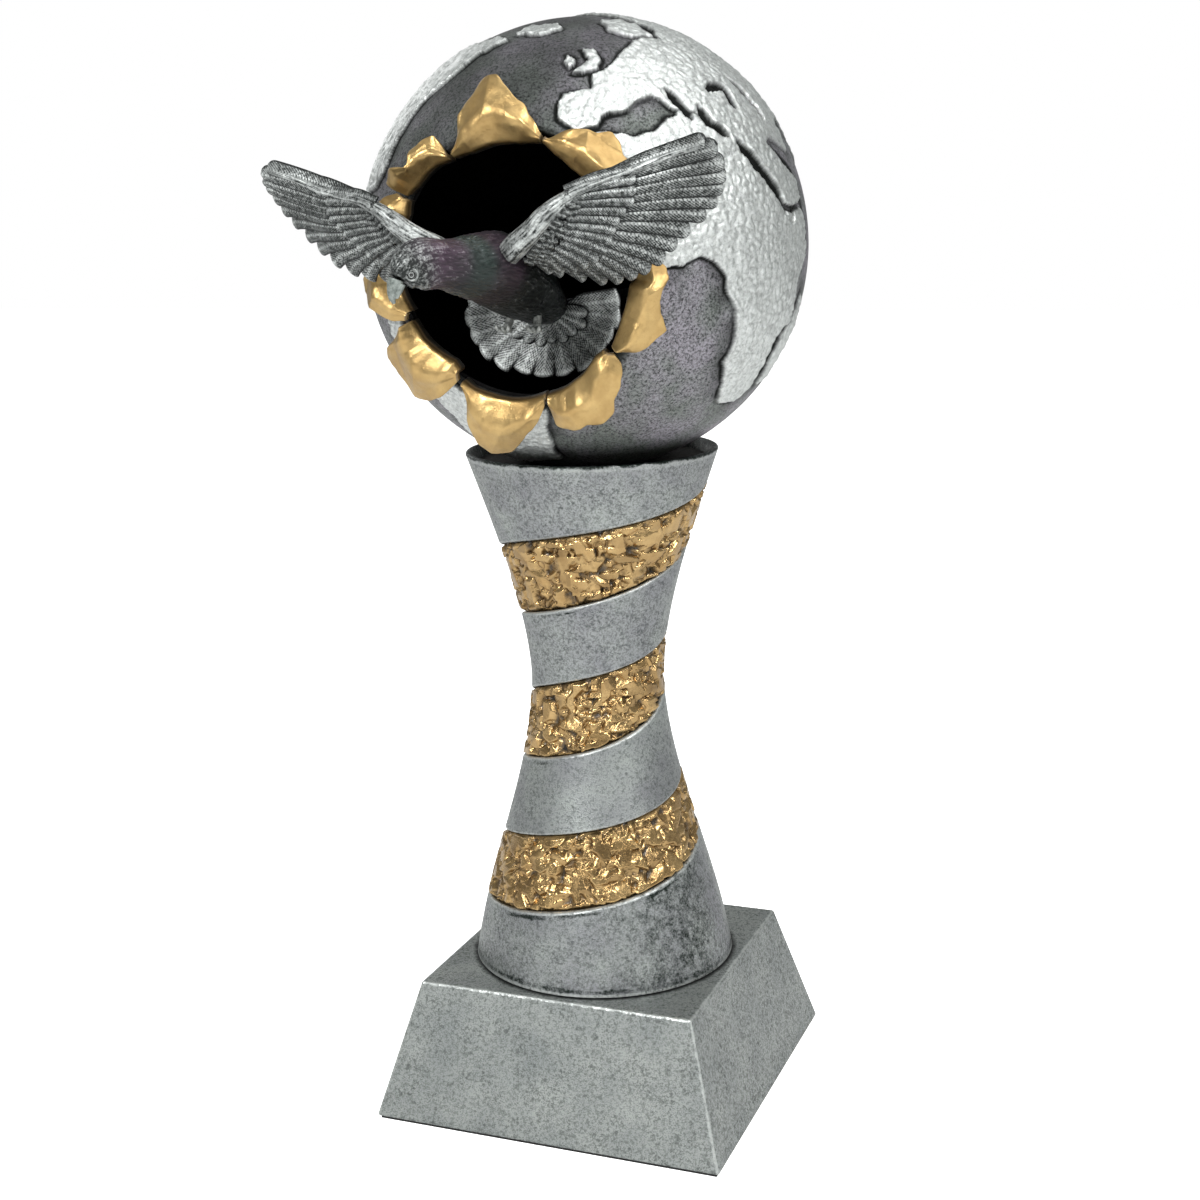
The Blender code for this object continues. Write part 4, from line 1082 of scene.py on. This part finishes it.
COVERTS = [
    ((23.5, 257.0), (39.2, 261.0), 1.35, 0.3), ((24.5, 256.2), (39.8, 258.8), 1.35, 0.3),
    ((25.0, 255.0), (39.8, 256.4), 1.35, 0.35), ((25.0, 253.8), (39.2, 254.2), 1.35, 0.4),
    ((24.8, 252.4), (37.2, 252.2), 1.35, 0.4), ((24.4, 251.0), (35.6, 250.2), 1.35, 0.45),
    ((23.8, 249.6), (34.4, 248.2), 1.35, 0.45), ((23.0, 248.4), (33.2, 246.0), 1.35, 0.5),
    ((22.2, 247.2), (31.4, 243.8), 1.35, 0.5), ((21.0, 246.0), (28.6, 241.8), 1.35, 0.5),
    ((19.4, 245.0), (25.2, 240.2), 1.35, 0.5), ((17.4, 244.2), (21.6, 239.2), 1.3, 0.4),
    ((15.0, 243.6), (17.8, 239.0), 1.3, 0.3), ((12.8, 242.8), (14.4, 238.8), 1.2, 0.2),
]
FLIGHT_STYLE = {"steps": 120, "across": 14, "twist": -0.38, "round_tip": 0.09, "relief": 0.20, "barb": 0.85}
COVERT_STYLE = {"steps": 90, "across": 12, "twist": -0.34, "round_tip": 0.10, "relief": 0.16, "barb": 0.62}
SCALE_STYLE = {
    "steps": 18, "across": 9, "twist": -0.15, "round_tip": 0.5, "relief": 0.08, "barb": 0.5,
    "stem": 0.2, "start_width": 0.8,
}
TAIL_STYLE = {"steps": 110, "across": 18, "round_tip": 0.07, "relief": 0.34, "barb": 1.05, "start_width": 0.3}
RUMP_STYLE = {"steps": 60, "across": 12, "round_tip": 0.3, "relief": 0.2, "barb": 0.9, "start_width": 0.45}

# The wing's leading edge from inside the body to the tip, and the outline of the web behind the feathers
ARM = [
    (-4.5, 232.5), (1.0, 237.6), (6.6, 242.6), (11.2, 245.6), (15.6, 248.6), (19.4, 251.8),
    (23.4, 254.6), (28.6, 257.2), (37.4, 260.0), (47.5, 263.8), (55.5, 266.2),
]
WEB_TOP = [
    (7, 240.4), (11.2, 244.6), (15.6, 248.0), (19.4, 251.6), (23.4, 254.6),
    (28.6, 257.2), (37.4, 260.0), (44, 262.3), (50, 264.4), (55.5, 265.8),
]
WEB_FOOT = [
    (6.5, 239.6), (10.5, 239.8), (15, 239.6), (22, 238.8), (28, 240.5),
    (34, 243.5), (40, 247.5), (46, 251.5), (52, 256.5), (54.5, 261.5),
]


def make_wing(node, side):
    """Flight feathers, coverts and scales on a web, with a rounded leading edge."""
    surface = wing_surface(node, side)
    shape = Shape()
    for order, (base, tip, half, bow) in enumerate(FLIGHT):
        feather(shape, base, tip, half, bow, surface, 0.55 - 0.012 * order, tone=0.95, **FLIGHT_STYLE)
    for base, tip, half, bow in COVERTS:
        feather(shape, base, tip, half, bow, surface, 1.45, tone=0.9, **COVERT_STYLE)
    rng = np.random.default_rng(5)
    scales = [(12.5, 242.2), (15.0, 244.2), (18.2, 246.8), (21.0, 249.6), (23.4, 252.4), (25.0, 255.0)]
    lean = np.array((0.85, -0.45))
    for spot in through(scales, 13):
        for lane, out in enumerate((-1.0, 0.5, 2.0)):
            start = spot + lean * (out - 0.9) + rng.normal(0, 0.2, 2)
            end = start + np.array((1.9, -0.9 + 0.3 * lane)) * (1 + 0.15 * rng.normal())
            feather(shape, start, end, 0.85, 0.12, surface, 2.3 - 0.3 * lane, tone=0.72, **SCALE_STYLE)
    rows, columns = 24, 60
    share = np.linspace(0, 1, rows)[:, None, None]
    flat = through(WEB_TOP, columns)[None] * (1 - share) + through(WEB_FOOT, columns)[None] * share
    spots, normal = surface(flat.reshape(-1, 2))
    front = (spots + normal * 0.35).reshape(rows, columns, 3)
    rear = (spots - normal * 0.9).reshape(rows, columns, 3)
    # The web is painted dark, as painted shade where it shows between the feathers.
    plumage(shape, front, rear, (0.1, 0.3), (0.6, 0.2))
    stations = 260
    spots, normal = surface(through(ARM, stations))
    places, sizes = [0, 0.16, 0.27, 0.5, 0.62, 0.8, 1], [0.8, 2.6, 3.0, 2.3, 1.7, 1.0, 0.6]
    lift = np.interp(np.arange(stations), [0, 50], [-0.8, 0.9])[:, None]
    tube(shape, spots + normal * lift, np.interp(np.linspace(0, 1, stations), places, sizes), 72, 0.06, 0.62)
    if side > 0:
        shape.turn_over()
    shape.make(node + "_feathers", DOVE_FINISH.material, (node,))


def tube(shape, path, size, around, relief, ridge_bias):
    """A closed round bar with short streaks along it."""
    ahead = unit(np.gradient(path, axis=0))
    first = unit(np.cross(ahead, np.array((0.2, 1, 0.1))))
    second = np.cross(ahead, first)
    turn = np.linspace(0, 2 * pi, around, endpoint=False)
    count = len(path)
    along = np.linspace(0, 1, count)
    closed = np.sqrt(np.maximum(1 - np.maximum(0, np.abs(along - 0.5) * 2 - 0.97) ** 2 / 0.0009, 0.0004))
    places = np.broadcast_arrays(along[:, None] * count * 0.045, np.cos(turn) * 5, np.sin(turn) * 5)
    streak = noise(np.stack(places, -1).reshape(-1, 3), 0.5, 400).reshape(count, around)
    radius = (size * closed)[:, None] + relief * streak * closed[:, None]
    points = path[:, None, :] + spokes(first[:, None, :], second[:, None, :], turn) * radius[..., None]
    ridge = np.clip(ridge_bias + 0.5 * streak, 0, 1).ravel()
    shape.add(points.reshape(-1, 3), tube_faces(count, around), ridge=ridge, wash=0, purple=0, green=0)


# The dove's spine from rump to brow: right, back, up, half width, half height
SPINE = [
    (0.0, -24.0, 226.3, 3.2, 2.6), (0.0, -27.5, 227.2, 5.2, 4.4), (0.0, -33.0, 229.0, 6.6, 6.0),
    (0.0, -40.0, 231.6, 8.0, 7.4), (0.0, -49.0, 235.0, 9.4, 8.8), (0.0, -60.0, 238.3, 9.8, 9.0),
    (0.0, -70.0, 239.6, 9.0, 7.9), (-1.4, -77.5, 240.1, 7.4, 6.6), (-3.2, -82.8, 240.8, 5.8, 5.6),
    (-4.8, -86.4, 241.2, 5.4, 5.8), (-6.0, -88.9, 241.0, 5.1, 6.0), (-7.0, -90.6, 240.1, 4.6, 5.6),
    (-7.8, -91.8, 238.9, 3.7, 4.6), (-8.4, -92.6, 237.6, 2.2, 2.9),
]


def make_body():
    """Rump to brow with fine streaks, a purple breast and a green collar."""
    rows, around = 520, 340
    stations = through(SPINE, rows)
    middle, wide, tall = stations[:, :3], stations[:, 3], stations[:, 4]
    ahead = unit(np.gradient(middle, axis=0))
    level = unit(np.cross(ahead, (0, 0, 1)))
    up = np.cross(level, ahead)
    turn = np.linspace(0, 2 * pi, around, endpoint=False)
    ring = level[:, None, :] * (np.cos(turn)[None, :] * wide[:, None])[..., None]
    ring = ring + up[:, None, :] * (np.sin(turn)[None, :] * tall[:, None])[..., None]
    along = np.concatenate([[0], np.cumsum(np.linalg.norm(np.diff(middle, axis=0), axis=1))])
    head = smooth(58, 70, along)[:, None]
    reach = np.sqrt(wide * tall)[:, None]
    grid = np.broadcast_arrays(along[:, None], np.cos(turn)[None, :] * reach, np.sin(turn)[None, :] * reach)
    grid = np.stack(grid, -1).reshape(-1, 3)
    warp = grid + 0.8 * wander(grid, 6, 410)
    long_streak = noise(warp * np.array((0.22, 1, 1)), 0.50, 420).reshape(rows, around)
    tuft = noise(warp * np.array((0.35, 1, 1)), 1.9, 430).reshape(rows, around)
    fine = noise(warp * np.array((0.3, 1, 1)), 0.34, 440).reshape(rows, around)
    height = (0.17 * long_streak + 0.16 * tuft + 0.08 * fine) * (1 - 0.4 * head)
    points = middle[:, None, :] + ring + unit(ring) * height[..., None]
    top = np.sin(turn)[None, :] + 0 * along[:, None]
    belly = smooth(14, 22, along)[:, None] * smooth(46, 34, along)[:, None] * smooth(0.35, -0.3, top)
    streaks = (1 - 0.4 * head) * (0.28 * long_streak + 0.26 * fine + 0.08 * tuft)
    ridge = np.clip(streaks + 0.36 * head + 0.14 * belly, 0, 1)
    bottom_dark = smooth(-0.1, -0.8, top) * (1 - head) * smooth(8, 20, along)[:, None]
    purple_band = smooth(38, 46, along) * smooth(72, 64, along)
    green_band = smooth(50, 53.5, along) * smooth(60, 56.5, along)
    patch = 0.5 + 0.5 * noise(grid, 5, 450).reshape(rows, around)
    green = 0.75 * green_band[:, None] * (0.6 + 0.4 * patch) * (0.35 + 0.65 * ridge)
    purple = 0.8 * purple_band[:, None] * (0.35 + 0.65 * patch) * (1 - green) * (0.3 + 0.7 * ridge)
    wash = 0.55 * bottom_dark * smooth(0.6, 0.2, ridge)
    painted = {"ridge": ridge, "wash": wash, "purple": purple, "green": green}
    painted = {key: value.ravel() for key, value in painted.items()}
    shape = Shape()
    shape.add(points.reshape(-1, 3), tube_faces(rows, around), **painted)
    shape.make("dove_body_feathers", DOVE_FINISH.material, ("dove_body",))


# The spread tail's middle, its half width and height, and how far back its edge bends
TAIL_MIDDLE = np.array((0.0, -26.6, 226.5))
TAIL_HALF = np.array((22.0, 17.0))
TAIL_BEND = 4.8


def make_tail():
    """A fan of long feathers under a shorter ring of rump feathers, the middle ones on top."""

    def surface(flat):
        away = np.linalg.norm(flat / TAIL_HALF, axis=1)
        points = np.stack([flat[:, 0], TAIL_MIDDLE[1] - TAIL_BEND * away**2, TAIL_MIDDLE[2] + flat[:, 1]], -1)
        lean = -2 * TAIL_BEND * flat / TAIL_HALF**2
        return points, unit(np.stack([lean[:, 0], -np.ones(len(flat)), lean[:, 1]], -1))

    shape = Shape()
    rng = np.random.default_rng(8)
    for first, last, count, reach, uneven, start, half, low, step, style in (
        (-190, 10, 13, (22.6, 17.3), 0.025, 0.12, 3.0, 0.5, 0.07, TAIL_STYLE),
        (-175, -5, 10, (12.5, 10.0), 0.05, 0.1, 2.1, 2.0, 0.06, RUMP_STYLE),
    ):
        fan = np.linspace(first, last, count)
        for rank, turn in enumerate(np.radians(fan[np.argsort(-np.abs(fan + 90))])):
            end = np.array((reach[0] * cos(turn), reach[1] * sin(turn))) * (1 + uneven * rng.normal())
            # tone=1.3 paints the tail's brushed silver lighter, as painted light where the globe's hole
            # shades it.
            feather(shape, end * start, end, half, 0.0, surface, low + step * rank, tone=1.3, **style)
    shape.turn_over()
    shape.make("dove_tail_feathers", DOVE_FINISH.material, ("dove_tail_fan",))


# Middles and radii along the upper and lower half of the beak
BEAK = (
    ([
        (-9.6, -93.4, 238.2, 1.9), (-10.1, -93.7, 236.6, 1.65), (-10.5, -93.9, 235.0, 1.2),
        (-10.5, -93.9, 233.6, 0.75), (-10.1, -93.8, 232.6, 0.3),
    ], 60),
    ([
        (-8.8, -93.0, 237.2, 1.3), (-9.2, -93.3, 235.8, 1.1), (-9.5, -93.5, 234.6, 0.75),
        (-9.7, -93.6, 233.7, 0.35),
    ], 40),
)


def make_beak():
    finish = plain_finish("beak_grey", (0.30, 0.33, 0.31), (0.10, 0.12, 0.11), 0.35, 0.42, 1.2, 0.08)
    shape = Shape()
    for stations, count in BEAK:
        rows = through(stations, count)
        tube(shape, rows[:, :3], rows[:, 3], 24, 0.03, 0.6)
    shape.make("dove_beak_horn", finish.material, ("dove_beak",))


def make_eyes():
    """Each eye as a black ball in two raised rings, set on the nearest point of the head."""
    black = plain_finish("eye_black", (0.01, 0.01, 0.01), (0.03, 0.03, 0.03), 0.0, 0.15, 0.8, 0.01)
    ring_grey = plain_finish("eye_ring", (0.42, 0.44, 0.43), (0.16, 0.17, 0.165), 0.5, 0.4, 0.8, 0.04)
    head = np.array((-6.2, -89.6, 239.6))
    skin = np.array([vertex.co for vertex in bpy.data.objects["dove_body_feathers"].data.vertices]) / MM
    around, rows, round_lid = 40, 16, 16
    turn = np.linspace(0, 2 * pi, around, endpoint=False)
    angle = np.linspace(0, 2 * pi, round_lid, endpoint=False)
    for node, spot in (("dove_eye_left", (-4.7, -95.0, 238.75)), ("dove_eye_right", (-10.3, -87.4, 238.9))):
        spot = skin[np.argmin(np.linalg.norm(skin - np.array(spot), axis=1))]
        out = unit(spot - head)
        first = unit(np.cross(out, (0, 0, 1)))
        radial = spokes(first, np.cross(out, first), turn)
        bends = np.linspace(0.02, pi / 2 + 0.5, rows)
        lines = [spot + radial * 0.80 * sin(part) + out * 0.62 * cos(part) for part in bends]
        ball = Shape()
        ball.add(np.vstack(lines), tube_faces(rows, around, flip=True))
        ball.make(node + "_ball", black.material, (node,))
        lid = Shape()
        for large, small, low in ((1.32, 0.24, -0.10), (0.52, 0.13, 0.52)):
            points = spot + radial[:, None, :] * (large + small * np.cos(angle))[None, :, None]
            points = points + out * (low + small * np.sin(angle))[None, :, None]
            faces = grid_faces(around, round_lid, close_rows=True, close_columns=True)
            lid.add(points.reshape(-1, 3), faces)
        lid.make(node + "_ring", ring_grey.material)


def make_feet():
    """Two tucked claws, each a shank with three toes ahead and one behind, as tubes."""
    finish = plain_finish("foot_grey", (0.45, 0.47, 0.45), (0.15, 0.16, 0.15), 0.3, 0.5, 0.9, 0.1)
    toes = [
        through([(3.6, -43.4, 228.2, 1.1), (3.8, -44.2, 224.8, 1.0), (4.0, -45.6, 223.2, 0.95)], 24),
    ]
    for spread, droop in ((-0.9, 0.0), (0.1, -0.3), (1.1, 0.0)):
        toes.append(through([
            (4.0, -45.4, 223.3, 0.85), (4.0 + spread, -46.6, 222.9 + droop, 0.75),
            (4.0 + 1.5 * spread, -47.6, 223.2 + droop, 0.6), (4.0 + 1.7 * spread, -47.9, 224.0 + droop, 0.3),
        ], 30))
    toes.append(through([(4.0, -45.4, 223.3, 0.8), (4.0, -44.2, 222.5, 0.65), (4.0, -43.4, 222.6, 0.35)], 20))
    for node, side in (("dove_foot_left", 1), ("dove_foot_right", -1)):
        shape = Shape()
        for toe in toes:
            tube(shape, toe[:, :3] * np.array((side, 1, 1)), toe[:, 3], 18, 0.05, 0.6)
        shape.make(node + "_claw", finish.material, (node,))


# ---------------------------------------------------------------- studio

CAMERA_PLACE = (0.1867, -0.4708, 0.2594)
CAMERA_TURN, CAMERA_RISE, CAMERA_ROLL = 21.5, 12.93, -1.48
LENS, SENSOR = 55.18, 36


def make_camera(scene):
    lens = bpy.data.cameras.new("camera")
    lens.lens, lens.sensor_width = LENS, SENSOR
    camera = bpy.data.objects.new("camera", lens)
    scene.collection.objects.link(camera)
    scene.camera = camera
    turn, rise, roll = radians(CAMERA_TURN), radians(CAMERA_RISE), radians(CAMERA_ROLL)
    back = Vector((sin(turn) * cos(rise), -cos(turn) * cos(rise), sin(rise)))
    right = Vector((cos(turn), sin(turn), 0))
    up = back.cross(right)
    x_axis = right * cos(roll) + up * sin(roll)
    y_axis = up * cos(roll) - right * sin(roll)
    axes = Matrix((x_axis, y_axis, back)).transposed()
    camera.matrix_world = Matrix.Translation(CAMERA_PLACE) @ axes.to_4x4()


def make_floor(scene):
    """A pale floor that shows as plain white."""
    floor = bpy.data.meshes.new("floor")
    build = bmesh.new()
    bmesh.ops.create_grid(build, x_segments=1, y_segments=1, size=3)
    build.to_mesh(floor)
    build.free()
    ground = bpy.data.objects.new("floor", floor)
    scene.collection.objects.link(ground)
    pale = bpy.data.materials.new("floor_pale")
    pale.use_nodes = True
    shader = pale.node_tree.nodes["Principled BSDF"]
    shader.inputs["Base Color"].default_value = (0.9, 0.9, 0.9, 1)
    shader.inputs["Roughness"].default_value = 0.9
    shader.inputs["Emission Color"].default_value = (1, 1, 1, 1)
    seen = pale.node_tree.nodes.new("ShaderNodeLightPath")
    pale.node_tree.links.new(seen.outputs["Is Camera Ray"], shader.inputs["Emission Strength"])
    floor.materials.append(pale)


def make_lights(scene):
    """A grey world that shows as plain white, and four soft lights."""
    world = bpy.data.worlds.new("world")
    scene.world = world
    world.use_nodes = True
    backdrop = world.node_tree.nodes["Background"]
    path = world.node_tree.nodes.new("ShaderNodeLightPath")
    shade = world.node_tree.nodes.new("ShaderNodeMix")
    shade.data_type = "RGBA"
    shade.inputs[6].default_value = (0.33, 0.34, 0.335, 1)
    shade.inputs[7].default_value = (1, 1, 1, 1)
    world.node_tree.links.new(path.outputs["Is Camera Ray"], shade.inputs[0])
    world.node_tree.links.new(shade.outputs[2], backdrop.inputs["Color"])
    target = Vector((0, 0, 0.17))
    for name, place, size, power in (
        ("key", (-0.30, -1.10, 0.90), 0.40, 14),
        ("fill", (0.95, -0.60, 0.95), 0.45, 11.5),
        ("top", (0.25, 0.1, 1.15), 0.6, 3.8),
        ("rim", (-0.8, 0.7, 0.6), 0.5, 1.2),
    ):
        light = bpy.data.lights.new(name, "AREA")
        light.size, light.energy = size, power
        lamp = bpy.data.objects.new(name, light)
        scene.collection.objects.link(lamp)
        lamp.location = place
        lamp.rotation_euler = (Vector(place) - target).to_track_quat("Z", "Y").to_euler()


DOVE_FINISH = feather_finish("dove_feathers", (0.012, 0.015, 0.014), (0.62, 0.65, 0.635))
dress_plinth()
make_sleeve()
make_nuggets()
make_globe()
make_petals()
for wing_node, wing_side in (("dove_wing_left", 1), ("dove_wing_right", -1)):
    make_wing(wing_node, wing_side)
make_body()
make_tail()
make_beak()
make_eyes()
make_feet()
make_camera(bpy.context.scene)
make_floor(bpy.context.scene)
make_lights(bpy.context.scene)
bpy.context.scene.view_settings.view_transform = "Standard"
